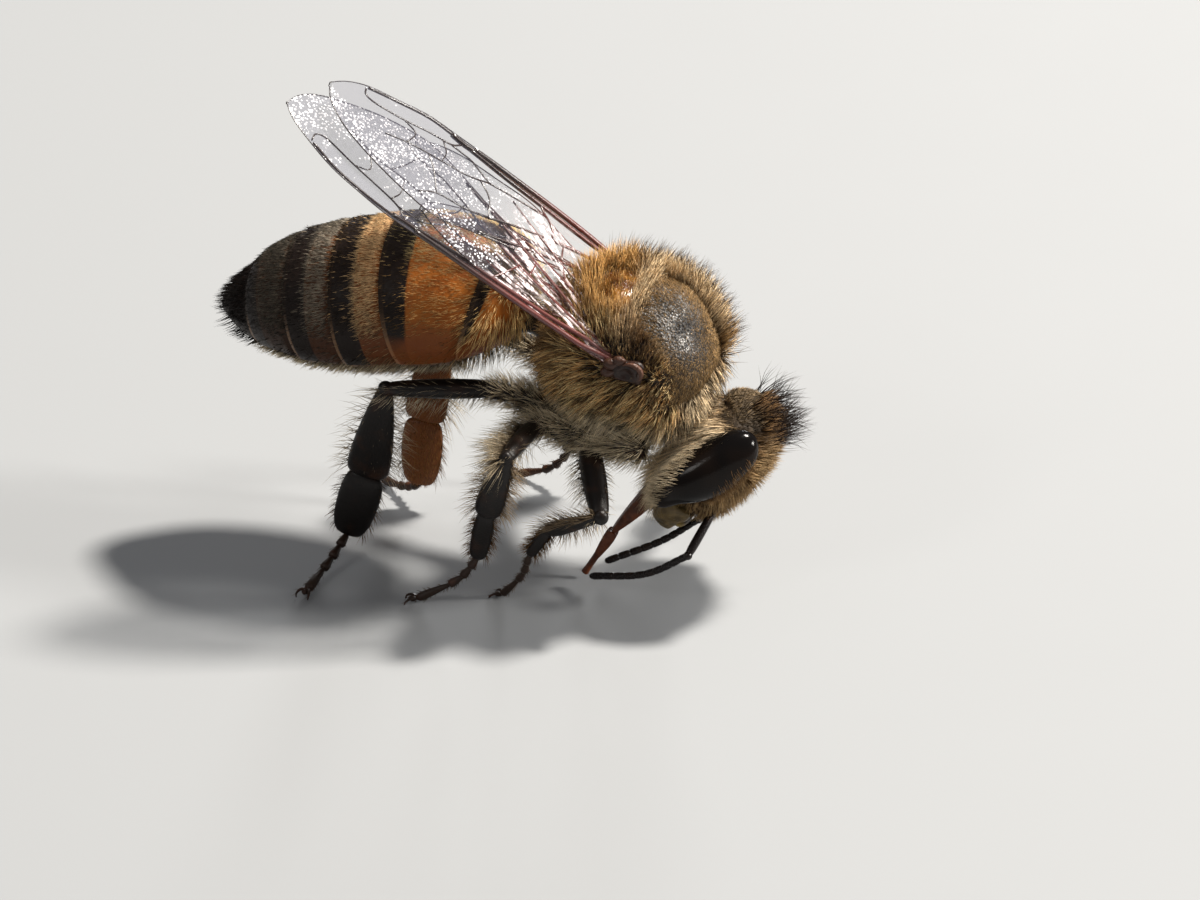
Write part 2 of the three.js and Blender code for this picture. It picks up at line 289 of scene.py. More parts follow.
def abdomen_paint():
    """Banded shell: amber in front with black rims, darker to the tip, and with painted shade darkening
    it down the sides.
    """
    paint = Paint("abdomen_paint")
    low = paint.attribute("low")
    ripple = paint.noise(0.5)
    scales = paint.cells(0.06)
    warm = paint.mix(ripple.step(0.35, 0.65), AMBER, ORANGE)
    # Painted shade: the amber darkens down the lower sides.
    shaded = paint.mix(low * 0.85, warm, (0.13, 0.034, 0.007))
    ground = paint.mix(paint.attribute("amber"), (0.014, 0.009, 0.006), shaded)
    black = (paint.attribute("black") + (ripple - 0.5) * 0.35).step(0.35, 0.65)
    margin = paint.attribute("rim").step(0.955, 0.975)
    return paint.finish(
        Base_Color=paint.mix(margin * (0.03 + low * 0.30), paint.mix(black, ground, PITCH), MARGIN),
        Roughness=0.42 + (scales - 0.4) * 0.3,
        Specular_IOR_Level=0.14,
        Normal=paint.bump(scales * 0.6 + ripple * 0.6, 0.014, 0.7),
    )


def belly_paint():
    """The plates underneath, brown with paler rims."""
    paint = Paint("belly_paint")
    grain = paint.cells(0.06)
    clouds = paint.noise(0.4).step(0.3, 0.7)
    ground = paint.mix(clouds, (0.10, 0.042, 0.014), (0.20, 0.095, 0.034))
    return paint.finish(
        Base_Color=paint.mix(paint.attribute("rim").step(0.9, 0.97) * 0.7, ground, MARGIN),
        Roughness=0.4 + (grain - 0.4) * 0.2,
        Specular_IOR_Level=0.35,
        Normal=paint.bump(grain, 0.012, 0.6),
    )


def eye_paint():
    """Glossy black, with the fine facets of a compound eye, and a faint brownish painted reflection in
    clouds.
    """
    paint = Paint("eye_paint")
    facets = paint.cells(0.034)
    # Painted reflection: faint brownish clouds over the black.
    sheen = paint.noise(0.8, 1.0).step(0.3, 0.8)
    return paint.finish(
        Base_Color=paint.mix(sheen, (0.003, 0.0025, 0.0025), (0.010, 0.006, 0.004)),
        Roughness=0.10 + facets * 0.08,
        Specular_IOR_Level=0.14,
        Normal=paint.bump(1 - facets, 0.004, 0.35),
    )


def glossy_paint(name, colour, roughness):
    """A small glossy shell or lens, a lighter red-brown on its marked ridges as a painted highlight."""
    paint = Paint(name)
    clouds = paint.noise(0.2, 2.0)
    darker = tuple(0.45 * part for part in colour)
    plain = paint.mix(clouds.step(0.3, 0.7), darker, colour)
    return paint.finish(
        Base_Color=paint.mix(paint.attribute("ridge") * 0.8, plain, (0.10, 0.042, 0.024)),
        Roughness=roughness + (clouds - 0.5) * 0.1,
        Specular_IOR_Level=0.32,
        Normal=paint.bump(paint.noise(0.05), 0.03, 0.7),
    )


def face_paint():
    """The face: black-brown above, brown at the temples, with a straw-coloured lip."""
    paint = Paint("face_paint")
    pits = paint.cells(0.05)
    clouds = paint.noise(0.3)
    ground = paint.mix(clouds.step(0.35, 0.7), PITCH, (0.03, 0.018, 0.010))
    brown = paint.mix(clouds, (0.022, 0.015, 0.009), (0.055, 0.038, 0.022))
    upper = paint.mix(paint.attribute("temple"), ground, brown)
    return paint.finish(
        Base_Color=paint.mix(paint.attribute("pale"), upper, STRAW),
        Roughness=0.55 + (pits - 0.4) * 0.2,
        Specular_IOR_Level=0.12,
        Normal=paint.bump(pits, 0.008, 0.5),
    )


def membrane_paint():
    """A smoky clear film with painted white glints where its tiny hairs catch the light, and
    painted pale pink sheen in streaks between the veins towards the root."""
    paint = Paint("wing_membrane_paint")
    base, near = paint.attribute("base"), paint.attribute("near")
    fan = paint.attribute("fan", "Vector")
    glint = paint.cells(0.075)
    patches = paint.noise(0.75, 2.0) * 1.15 + paint.noise(0.20, 2.0) * 0.6
    chosen = (patches + paint.attribute("glints") * 0.45).step(1.03, 1.17)
    specks = (1 - glint.step(0.22, 0.42)) * chosen
    streak = paint.make("ShaderNodeTexNoise", None, {"Vector": fan, "Scale": 1.0, "Detail": 3.0})
    broken = 0.35 + 0.65 * paint.noise(0.12).step(0.42, 0.52)
    streaks = streak.step(0.50, 0.56) * base.step(0.10, 0.5) * near * broken
    tint = paint.mix(base, (0.13, 0.13, 0.17), (0.16, 0.075, 0.045))
    bright = paint.mix(streaks, (0.97, 0.97, 1.0), (1.0, 0.86, 0.88))
    # Painted highlight: the glints and the sheen streaks are pale colour that is nearly opaque.
    shine = specks.largest(streaks * 0.95)
    clear = (0.030 + paint.attribute("film") * 0.21) * (0.6 + near * 0.4)
    return paint.finish(
        Base_Color=paint.mix(shine, tint, bright),
        Roughness=0.14 + shine * 0.12,
        Specular_IOR_Level=0.6,
        Alpha=(clear + shine * 0.62).smallest(0.95),
        Normal=paint.bump(paint.noise(0.25) + glint * 0.5, 0.03, 0.6),
    )


def vein_paint():
    """Wing veins: glossy red-brown at the root and dark brown beyond."""
    paint = Paint("wing_vein_paint")
    base = paint.attribute("base").step(0.05, 0.7)
    clouds = paint.noise(0.3, 2.0)
    colour = paint.mix(base, (0.016, 0.007, 0.006), (0.13, 0.026, 0.020))
    return paint.finish(
        Base_Color=paint.mix(clouds * 0.5, colour, (0.012, 0.006, 0.005)),
        Roughness=0.20 + clouds * 0.15,
        Specular_IOR_Level=1.0,
        Normal=paint.bump(clouds, 0.01, 0.4),
    )


def hair_paint():
    """Hair whose colour each hair carries, with painted shade darkening it towards the root."""
    paint = Paint("fur_paint")
    tone = paint.attribute("tone", "Color")
    tip = paint.attribute("tip")
    # Painted shade deep in the coat: each hair darkens towards its root.
    root = paint.mix(0.85, tone, (0.30, 0.25, 0.20), "MULTIPLY")
    return paint.finish(
        Base_Color=paint.mix(tip.step(0.0, 0.55), root, tone),
        Roughness=0.42 + (1 - tip) * 0.1,
        Specular_IOR_Level=0.12,
    )


def floor_paint():
    paint = Paint("floor_paint")
    colour = (*DULL_STAGE, 1.0)
    return paint.finish(Base_Color=colour, Roughness=0.75 + (paint.noise(4.0, 2.0) - 0.5) * 0.05)


# ---- making pieces by hand ----------------------------------------------------------------------
def clear_selection():
    if bpy.context.object and bpy.context.object.mode != "OBJECT":
        bpy.ops.object.mode_set(mode="OBJECT")
    bpy.ops.object.select_all(action="DESELECT")


def only(piece):
    clear_selection()
    piece.select_set(True)
    bpy.context.view_layer.objects.active = piece


def editing(piece):
    only(piece)
    bpy.ops.object.mode_set(mode="EDIT")
    bpy.ops.mesh.select_all(action="SELECT")


def done_editing():
    bpy.ops.object.mode_set(mode="OBJECT")


def modify(piece, kind, **settings):
    """Adds a modifier and applies it."""
    only(piece)
    modifier = piece.modifiers.new(kind.title(), kind)
    for key, value in settings.items():
        setattr(modifier, key, value)
    bpy.ops.object.modifier_apply(modifier=modifier.name)


def shade(piece, angle=None):
    only(piece)
    if angle is None:
        bpy.ops.object.shade_smooth()
    else:
        bpy.ops.object.shade_smooth_by_angle(angle=math.radians(angle))


def soften(piece):
    modify(piece, "SUBSURF", levels=1, render_levels=1)
    shade(piece)


def face_out(piece):
    editing(piece)
    bpy.ops.mesh.remove_doubles(threshold=1e-7)
    bpy.ops.mesh.normals_make_consistent(inside=False)
    done_editing()


def settle(piece, slot, *nodes, paint):
    """Gives a finished piece its paint, its body and the nodes that it stands for. Its finish, slot, is
    not used.
    """
    piece.data.materials.clear()
    piece.data.materials.append(paint)
    only(piece)
    bpy.ops.object.transform_apply(location=True, rotation=True, scale=True)
    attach(piece, "root")
    if nodes:
        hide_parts(*nodes)
    return piece


def mark(piece, kind="FLOAT", key="value", **layers):
    """Stores a number, a vector or a colour for each vertex, for the material to read."""
    for name, values in layers.items():
        layer = piece.data.attributes.new(name, kind, "POINT")
        layer.data.foreach_set(key, np.asarray(values, np.float32).ravel())


def link(piece):
    bpy.context.scene.collection.objects.link(piece)
    return piece


def duplicate(piece):
    copy = piece.copy()
    copy.data = piece.data.copy()
    return link(copy)


def join(pieces, name):
    clear_selection()
    for piece in pieces:
        piece.select_set(True)
    bpy.context.view_layer.objects.active = pieces[0]
    if len(pieces) > 1:
        bpy.ops.object.join()
    pieces[0].name = name
    pieces[0].data.name = name
    return pieces[0]


def basis(along, broad):
    """Columns: across the broad way, the thin way, and along."""
    along = unit(along)
    across = unit(broad - along * (broad @ along))
    return np.array([across, np.cross(along, across), along]).T


def put(mesh, place, turn):
    """Turns a mesh that was made at the frame's origin and moves it to its place."""
    mesh.transform(Matrix.Translation(Vector(to_frame(place))) @ Matrix(turn).to_4x4())


def ball(name, centre, half, axes=None, segments=64, rings=40):
    """A ball pulled out to three half sizes along its own axes."""
    clear_selection()
    bpy.ops.mesh.primitive_uv_sphere_add(segments=segments, ring_count=rings, radius=MM)
    piece = bpy.context.object
    piece.name = name
    editing(piece)
    bpy.ops.transform.resize(value=tuple(half))
    done_editing()
    put(piece.data, centre, np.eye(3) if axes is None else axes)
    return piece


def pull(piece, spot, offset, reach):
    """Draws the surface near a spot along by an offset, fading out over its reach."""
    places = places_of(piece)
    chosen = np.zeros(len(places), bool)
    chosen[np.linalg.norm(places - spot, axis=1).argmin()] = True
    only(piece)
    piece.data.vertices.foreach_set("select", chosen)
    for parts in (piece.data.edges, piece.data.polygons):
        parts.foreach_set("select", np.zeros(len(parts), bool))
    bpy.ops.object.mode_set(mode="EDIT")
    bpy.ops.transform.translate(
        value=tuple(np.asarray(offset) * MM),
        use_proportional_edit=True,
        proportional_edit_falloff="SMOOTH",
        proportional_size=reach * MM,
    )
    done_editing()


def shape(piece, pulls, centre, axes, sign=1):
    """Pulls a surface by rows of a spot, an offset and a reach. Spots and offsets run along the
    axes of a part, and a sign of -1 turns them to its right."""
    for row in np.array(pulls, float) * (1, sign, 1, 1, sign, 1, 1):
        pull(piece, centre + axes @ row[:3], axes @ row[3:6], row[6])


def rod(name, start, end, profile, flat=1.0, broad=None, sides=12):
    """A closed limb from start to end. profile lists (share of its length, half width), and the
    half thickness is flat times that. broad points the broad way across."""
    start, end = np.asarray(start, float), np.asarray(end, float)
    length = np.linalg.norm(end - start)
    broad = vec(0, 1, 0.001) if broad is None else broad
    clear_selection()
    bpy.ops.mesh.primitive_circle_add(vertices=sides, radius=profile[0][1] * MM, fill_type="NGON")
    piece = bpy.context.object
    piece.name = name
    editing(piece)
    bpy.ops.transform.translate(value=(0, 0, profile[0][0] * length * MM))
    for (share, half), (next_share, next_half) in zip(profile, profile[1:]):
        step = (0, 0, (next_share - share) * length * MM)
        bpy.ops.mesh.extrude_region_move(TRANSFORM_OT_translate={"value": step})
        bpy.ops.transform.resize(value=(next_half / half, next_half / half, 1))
    bpy.ops.mesh.select_all(action="SELECT")
    bpy.ops.transform.resize(value=(1, flat, 1), center_override=(0, 0, 0))
    bpy.ops.mesh.normals_make_consistent(inside=False)
    done_editing()
    put(piece.data, start, basis(end - start, broad))
    soften(piece)
    return piece


def rounded(*profile):
    """A profile with both ends drawn in to a small face."""
    (first, first_half), (last, last_half) = profile[0], profile[-1]
    head = [(first - 0.030, 0.25 * first_half), (first - 0.022, 0.7 * first_half)]
    tail = [(last + 0.022, 0.7 * last_half), (last + 0.030, 0.25 * last_half)]
    return head + list(profile) + tail


def line_tube(name, path, half, sides=3):
    """A thin tube along a path of points, such as a vein. half may be one size for each point."""
    curve = bpy.data.curves.new(name, "CURVE")
    curve.dimensions = "3D"
    curve.bevel_depth = MM
    curve.bevel_resolution = sides - 2
    curve.use_fill_caps = True
    spline = curve.splines.new("POLY")
    places = to_frame(path)
    spline.points.add(len(places) - 1)
    for point, place, size in zip(spline.points, places, np.broadcast_to(half, len(places))):
        point.co = (*place, 1)
        point.radius = size
    only(link(bpy.data.objects.new(name, curve)))
    bpy.ops.object.convert(target="MESH")
    return bpy.context.object


def curve_through(points, count):
    """A smooth path through a few points, by Catmull-Rom steps."""
    points = np.asarray(points, float)
    padded = np.vstack([2 * points[0] - points[1], points, 2 * points[-1] - points[-2]])
    spans = len(points) - 1
    place = np.linspace(0, spans, count)
    span = np.minimum(place.astype(int), spans - 1)
    t = (place - span)[:, None]
    a, b, c, d = (padded[span + k] for k in range(4))
    bend, twist = 2 * a - 5 * b + 4 * c - d, 3 * b - a - 3 * c + d
    return 0.5 * (2 * b + (c - a) * t + bend * t**2 + twist * t**3)


# ---- hair: many thin tapering hairs joined in one mesh ------------------------------------------
PATCH = 0.003  # width of a hair's patch on the bake map
MAP = 0.985  # share of the bake map that roots use, so that patches stay on it
SUNK = 0.02  # how far a hair's root is under the skin
FLOOR_GAP = 0.012  # how far hair tips stay over the floor


def scatter(piece, count, seed, weigh):
    """Seeded places on a piece's surface, by area times a weight, with their normals, in mm."""
    count = count
    chance = np.random.default_rng(seed)
    mesh = piece.data
    mesh.calc_loop_triangles()
    corners = np.empty(len(mesh.loop_triangles) * 3, np.int32)
    mesh.loop_triangles.foreach_get("vertices", corners)
    corners = corners.reshape(-1, 3)
    places, normals = places_of(piece), read(mesh, "normal")
    a, b, c = (places[corners[:, k]] for k in range(3))
    facing = np.cross(b - a, c - a)
    weight = np.linalg.norm(facing, axis=1) * np.maximum(weigh((a + b + c) / 3, unit(facing)), 0)
    picked = chance.choice(len(weight), count, p=weight / weight.sum())
    u, v = chance.random(count), chance.random(count)
    flip = u + v > 1
    u[flip], v[flip] = 1 - u[flip], 1 - v[flip]
    share = np.stack([1 - u - v, u, v], 1)[:, :, None]
    corner = corners[picked]
    return (places[corner] * share).sum(1), unit((normals[corner] * share).sum(1)), chance


def clump_leaders(root, every):
    """For each hair the hair that leads its clump."""
    leaders = np.arange(0, len(root), every)
    tree = KDTree(len(leaders))
    for row in leaders:
        tree.insert(root[row], row)
    tree.balance()
    return np.array([tree.find(place)[1] for place in root])


def within(colours, most=0.95):
    """Colours brought under a brightness without a change of hue."""
    return colours / np.maximum(colours.max(-1, keepdims=True) / most, 1)


def varied(tone, roots, spread=0.32):
    """Colours that vary from hair to hair."""
    root, _, chance = roots
    light = chance.normal(1.0, spread, (len(root), 1))
    return within(np.broadcast_to(tone, (len(root), 3)) * np.clip(light, 0.3, 2.0))


def jittered(way, roots, amount):
    """One way for every hair, a little different for each."""
    root, _, chance = roots
    return np.broadcast_to(way, root.shape) + chance.normal(0, amount, root.shape)


def hair_faces(steps):
    """The triangles of one three-sided hair with a closed root and a pointed tip."""
    faces = []
    for low in range(0, 3 * steps - 3, 3):
        for k, n in ((0, 1), (1, 2), (2, 0)):
            faces += [(low + k, low + n, low + 3 + n), (low + k, low + 3 + n, low + 3 + k)]
    last = 3 * steps - 3
    return faces + [(last + k, last + n, 3 * steps) for k, n in ((0, 1), (1, 2), (2, 0))] + [(2, 1, 0)]


def grow(name, slot, roots, lie, length, half, lift, tone, patch, tip_tone=None, steps=3, wave=0.12,
         gather=0.0, clump=18, patchy=0.0, lowest=-np.inf, fade_from=0.45):
    """One piece of coat. Each hair leaves its root at lift degrees from the skin towards its lie,
    bends over towards its tip, and tapers to a point. patch is its place on the unwrap. Clumps of
    hairs lean together by gather, and differ in lightness by patchy."""
    root, normal, chance = roots
    count = len(root)
    tip_tone = tone if tip_tone is None else tip_tone
    lie = unit(lie - normal * (lie * normal).sum(1, keepdims=True))
    across = np.cross(normal, lie)
    lift, length, half, gather = (
        np.broadcast_to(values, count).astype(float)[:, None]
        for values in (np.radians(lift), length, half, gather)
    )
    swing = chance.normal(0, wave, (count, 2))
    sway, curl = swing[:, :1], swing[:, 1:]
    leader = clump_leaders(root, clump)
    heading = lie * np.cos(0.8 * lift) + normal * np.sin(0.8 * lift) + across * sway
    ends = root + unit(heading) * length
    pulled = (ends[leader] - ends) * gather / length
    light = np.exp(chance.normal(0, 1, count)[leader] * patchy)[:, None]
    here = root - normal * SUNK
    rings = []
    for step in range(steps):
        t = step / steps
        here[:, 2] = np.maximum(here[:, 2], lowest)
        angle = lift * (1 - 0.4 * t)
        side = sway * (0.6 + 0.8 * t) + curl * math.sin(5 * t)
        heading = unit(lie * np.cos(angle) + normal * np.sin(angle) + across * side)
        heading = unit(heading + pulled * (0.4 + 1.2 * t))
        flank = unit(np.cross(heading, normal + lie * 0.3))
        top = np.cross(flank, heading)
        size = half * (1 - t) ** 0.75
        for turn in np.radians((90, 210, 330)):
            rings.append(here + flank * size * math.cos(turn) + top * size * math.sin(turn))
        here = here + heading * length / steps
    here[:, 2] = np.maximum(here[:, 2], lowest)
    places = np.stack([*rings, here], 1).reshape(-1, 3)
    per = 3 * steps + 1
    every = np.array(hair_faces(steps))[None] + (np.arange(count) * per)[:, None, None]
    every = every.reshape(-1, 3).astype(np.int32)
    mesh = bpy.data.meshes.new(name)
    mesh.vertices.add(len(places))
    mesh.vertices.foreach_set("co", to_frame(places).astype(np.float32).ravel())
    mesh.loops.add(every.size)
    mesh.loops.foreach_set("vertex_index", every.ravel())
    mesh.polygons.add(len(every))
    mesh.polygons.foreach_set("loop_start", np.arange(0, every.size, 3, dtype=np.int32))
    mesh.polygons.foreach_set("use_smooth", np.ones(len(every), bool))
    piece = link(bpy.data.objects.new(name, mesh))
    shares = np.append(np.repeat(np.arange(steps) / steps, 3), 1.0)
    mark(piece, tip=np.tile(shares, count))
    fade = smooth(shares, fade_from, 1.0)[None, :, None]
    colours = within(blend((tone * light)[:, None], (tip_tone * light)[:, None], fade))
    colours = np.concatenate([colours, np.ones((count, per, 1))], 2)
    mark(piece, "FLOAT_COLOR", "color", tone=colours)
    turns = np.append(np.tile([0, 0.5, 1], steps), 0.5)
    patches = patch[:, None] + np.stack([turns, shares], 1)[None] * PATCH
    layer = mesh.uv_layers.new(name="OFBake")
    layer.uv.foreach_set("vector", patches.reshape(-1, 2)[every.ravel()].astype(np.float32).ravel())
    mesh.update()
    mesh.validate()
    settle(piece, slot, paint=FUR)


def grow_in_parts(name, parts, slot, roots, **ways):
    """Grows a coat as several pieces, each of an equal share of the hairs."""
    root, normal, chance = roots
    total = len(root)
    for part in range(parts):
        rows = slice(part * total // parts, (part + 1) * total // parts)
        cut = {key: value[rows] if np.shape(value)[:1] == (total,) else value
               for key, value in ways.items()}
        grow(f"{name}_{part + 1}", slot, (root[rows], normal[rows], chance), **cut)


def round_patch(root, centre, axes):
    """Places on an unwrap by longitude and latitude about a centre."""
    d = unit((root - centre) @ axes)
    u = (np.arctan2(d[:, 1], d[:, 2]) / (2 * math.pi)) % 1.0
    v = np.arccos(np.clip(d[:, 0], -1, 1)) / math.pi
    return np.stack([u, v], 1) * MAP


FUR = hair_paint()

# ---- camera, light and floor --------------------------------------------------------------------
VIEW_ROUND, VIEW_HEIGHT = math.radians(15), math.radians(29)
VIEW_DISTANCE = 150.0
VIEW_TARGET = vec(-0.462, -1.215, -1.90)
LENS = 207.0
# Lamps as (the viewer's right, up and back), distance, size, power and colour.
LAMPS = {
    "key": ((0.45, 0.95, 0.25), 350.0, 0.045, 2.9, (1.0, 0.94, 0.86)),
    "side": ((1.0, 0.36, 0.34), 350.0, 0.05, 1.15, (1.0, 0.96, 0.90)),
    "fill": ((-0.7, 0.3, 0.8), 400.0, 0.10, 0.18, (1.0, 0.97, 0.93)),
    "rim": ((0.2, 0.7, -0.9), 400.0, 0.10, 0.7, (1.0, 1.0, 1.0)),
}


def from_view(right, up, back):
    """A direction given as the viewer sees it."""
    ca, sa = math.cos(VIEW_ROUND), math.sin(VIEW_ROUND)
    ce, se = math.cos(VIEW_HEIGHT), math.sin(VIEW_HEIGHT)
    return right * vec(ca, sa, 0) + up * vec(-sa * se, ca * se, ce) + back * vec(sa * ce, -ca * ce, se)


def aim(name, data, place, target):
    thing = link(bpy.data.objects.new(name, data))
    thing.location = Vector(to_frame(place))
    thing.rotation_mode = "QUATERNION"
    thing.rotation_quaternion = Vector(place - target).to_track_quat("Z", "Y")
    return thing


def set_camera():
    lens = bpy.data.cameras.new("camera")
    lens.lens = LENS
    lens.sensor_width = 36.0
    lens.clip_start = 0.01
    lens.clip_end = 10.0
    place = VIEW_TARGET + from_view(0, 0, VIEW_DISTANCE)
    bpy.context.scene.camera = aim("camera", lens, place, VIEW_TARGET)


def set_stage():
    clear_selection()
    bpy.ops.mesh.primitive_plane_add(size=4.0)
    floor = bpy.context.object
    floor.name = "floor"
    floor.data.materials.append(floor_paint())
    world = bpy.data.worlds.new("studio")
    bpy.context.scene.world = world
    world.use_nodes = True
    sky = world.node_tree.nodes["Background"]
    sky.inputs["Color"].default_value = (0.96, 0.96, 1.0, 1.0)
    sky.inputs["Strength"].default_value = 0.19
    for name, (way, distance, size, power, colour) in LAMPS.items():
        light = bpy.data.lights.new(name, "AREA")
        light.shape = "DISK"
        light.size = size
        light.energy = power
        light.color = colour
        aim(name, light, unit(from_view(*way)) * distance, vec(0, 0, 0))
    bpy.context.scene.view_settings.view_transform = "Standard"


set_camera()
set_stage()


# ---- thorax: a domed back plate, a small plate behind it, and hollows for neck and waist --------
def pitched(degrees):
    """Axes turned nose down about the left-right axis."""
    c, s = math.cos(math.radians(degrees)), math.sin(math.radians(degrees))
    return np.array([(c, 0, -s), (0, 1, 0), (s, 0, c)]).T


THORAX_CENTRE = vec(0, 0, 0)
THORAX_HALF = (1.84, 1.70, 1.80)
THORAX_AXES = pitched(12)
WING_ROOTS = (vec(0.35, 1.75, 0.5), vec(-0.1, 1.7, 0.6))
# Pulls along the midline and across the back: the dome, the seam, the small plate, the dip behind
# it, the hollow for the neck, the flatter underside and the hollow for the waist.
THORAX_PULLS = [
    (0.6, 0, 1.7, 0.10, 0, 0.10, 1.3),
    (-1.2, 0, 1.35, -0.12, 0, 0.16, 0.6),
    *[(-0.10 - 0.1 * abs(y), y, 1.7, 0, 0, -0.08, 0.24) for y in (-0.9, -0.45, 0, 0.45, 0.9)],
    *[(-0.62, y, 1.55, -0.05, 0, 0.10, 0.36) for y in (-0.66, -0.22, 0.22, 0.66)],
    *[(-1.12, y, 1.25, 0.05, 0, -0.07, 0.28) for y in (-0.5, 0, 0.5)],
    (1.75, 0, -0.35, -0.35, 0, -0.1, 0.9),
    (0, 0, -1.8, 0, 0, 0.25, 1.3),
    (-1.8, 0, -0.1, 0.2, 0, 0, 0.8),
]
# Pulls on both sides: the hollow over the legs, the wing roots and the shoulders.
THORAX_SIDE_PULLS = [
    (0.1, 1.4, -1.1, 0, -0.32, 0.1, 0.9),
    (-0.2, 1.68, 0.35, 0, -0.12, 0, 0.4),
    (0.9, 1.3, -0.5, 0.05, 0.08, 0, 0.5),
]


def on_thorax(forward, left, up):
    return THORAX_AXES @ vec(forward, left, up)


def round_thorax(places):
    """Degrees to the right of the midline, and degrees round from the front over the back."""
    local = unit(places @ THORAX_AXES)
    right = np.degrees(np.arcsin(np.clip(-local[:, 1], -1, 1)))
    return right, np.degrees(np.arctan2(local[:, 2], local[:, 0]))


def bareness(places):
    """1 on the back plate where it is worn bare, mostly on its right, and 0 under full fur."""
    right, around = round_thorax(places)
    out = np.clip(right, 0, 60)
    front, rear = 10 - 0.5 * out, 82 + 0.1 * out
    inside = smooth(around, front - 4, front + 4) * (1 - smooth(around, rear - 8, rear + 10))
    return inside * (1 - smooth(right, 30, 56)) * smooth(right, -9, -5)


def amber_spot(places):
    """1 on the glossy amber swelling at the back plate's rear, nearly free of fur."""
    right, around = round_thorax(places)
    return bell(right, 14, 21, 4) * bell(around, 110, 13, 4)


def polish_and_painted_highlight(places):
    """1 where the bare back is polished, within the worn patch; there its colour is also lightened as a
    painted highlight.
    """
    right, around = round_thorax(places)
    return bell(right, 26, 21) * bell(around, 50, 32)


def make_thorax():
    shell = ball("thorax_shell", THORAX_CENTRE, THORAX_HALF, THORAX_AXES)
    shape(shell, THORAX_PULLS, THORAX_CENTRE, THORAX_AXES)
    for sign in SIDES.values():
        shape(shell, THORAX_SIDE_PULLS, THORAX_CENTRE, THORAX_AXES, sign)
    soften(shell)
    places = places_of(shell)
    spot = np.clip(1.4 * amber_spot(places), 0, 1)
    mark(shell, bare=bareness(places), shine=polish_and_painted_highlight(places), spot=spot)
    return settle(shell, "furred_body", "thorax", paint=thorax_paint())


def thorax_tones(roots, local):
    """Root and tip colours of the thorax's hairs by their place on it."""
    chance, count = roots[2], len(local)
    forward, left, up = local[:, :1], local[:, 1:2], local[:, 2:]
    straw = (chance.random((count, 1)) < 0.36) * smooth(np.abs(left), 0.5, 0.8)
    tone = blend(blend(HAIR_GOLD, HAIR_BROWN, 0.7), HAIR_STRAW * 1.15, straw)
    # Tan hairs over the top front: their own tan, made paler as painted backlight.
    tone = blend(tone, vec(0.66, 0.49, 0.29), smooth(up, 0.35, 0.6) * smooth(forward, -0.35, -0.05))
    rear_top = smooth(up, 0.55, 0.75) * smooth(-forward, 0.05, 0.3)
    tone = blend(tone, blend(HAIR_ORANGE, HAIR_TAN, 0.25), rear_top * 0.85)
    tone = blend(tone, HAIR_BROWN, bell(forward, 0.15, 0.30) * bell(left, -0.78, 0.22) * (up > 0.1))
    tone = blend(tone, HAIR_CREAM, smooth(-up, 0.30, 0.65))
    collar = smooth(forward, 0.7, 0.9) * smooth(-up, -0.3, 0.1)
    tone = varied(blend(tone, blend(HAIR_CREAM, HAIR_GOLD, 0.3), collar), roots)
    dark = smooth(up, 0.05, 0.4) * smooth(forward, -0.45, 0.1) * (chance.random((count, 1)) < 0.85)
    dark = dark * (0.2 + 0.8 * smooth(left, 0.16, 0.42))
    # Painted light: roots are darkened as painted shade, but lightened under the dark-tipped crest as if
    # lit from behind; tips are lightened as a painted highlight, except the real dark tips.
    return tone * blend(0.8, 1.15, dark), blend(tone * 1.2, HAIR_DARK, dark * 0.95)


def wing_root_gap(places):
    """How far places are from the bare skin about the nearer wing root."""
    mirrored = np.stack([places[:, 0], np.abs(places[:, 1]), places[:, 2]], 1)
    return np.min([np.linalg.norm(mirrored - root, axis=1) for root in WING_ROOTS], axis=0) + 0.10


def grow_thorax_fur(shell):
    def weigh(places, normals):
        up = unit(places @ THORAX_AXES)[:, 2]
        furry = 1 - 0.985 * smooth(bareness(places), 0.1, 0.7)
        furry *= 1 - 0.72 * smooth(amber_spot(places), 0.2, 0.7)
        neck = smooth(np.linalg.norm(places - on_thorax(1.7, 0, -0.5), axis=1), 0.3, 0.7)
        root = smooth(wing_root_gap(places), 0.18, 0.34)
        return furry * neck * root * (1 - 0.3 * smooth(-up, 0.5, 0.9))

    roots = scatter(shell, *THORAX_FUR, weigh)
    root, _, chance = roots
    total = len(root)
    local = unit(root @ THORAX_AXES)
    forward, left, up = local.T
    side = np.abs(left)
    down = np.stack([-0.85 - 0.3 * forward, 0 * up, -0.8 + 0.5 * up], 1)
    radial = np.stack([forward * 0.4, left * 0.4, up * 0.6 + 0.3], 1)
    lie = blend(radial, down, smooth(-up, -0.45, 0.25)[:, None]) @ THORAX_AXES.T
    lift = 68 - 30 * smooth(side, 0.5, 0.95) * smooth(-up, -0.5, 0.2) + chance.normal(0, 9, total)
    under_coat = chance.random(total) < 0.5
    length = np.where(under_coat, chance.normal(0.32, 0.06, total), chance.normal(0.60, 0.09, total))
    length = length.clip(0.15, 0.82)
    shorn = smooth(side, 0.35, 0.6) * smooth(forward, 0.3, 0.6) * smooth(up, -0.5, -0.1)
    length *= 1 - 0.55 * shorn * (left < 0)
    length *= 0.5 + 0.5 * smooth(wing_root_gap(root), 0.3, 0.8)
    length *= 1 - 0.55 * smooth(amber_spot(root), 0.1, 0.6)
    length *= 1 - 0.72 * smooth(bareness(root), 0.0, 0.35)
    tone, tip_tone = thorax_tones(roots, local)
    top = smooth(up, 0.1, 0.5)
    grow_in_parts(
        "thorax_fur", 3, "furred_body", roots, lie=lie, length=length, half=0.0110 - 0.0025 * top,
        lift=lift, tone=tone, tip_tone=tip_tone, gather=0.75 - 0.55 * top, clump=12,
        patch=round_patch(root, THORAX_CENTRE, THORAX_AXES), patchy=0.95 - 0.7 * top, fade_from=0.1,
    )


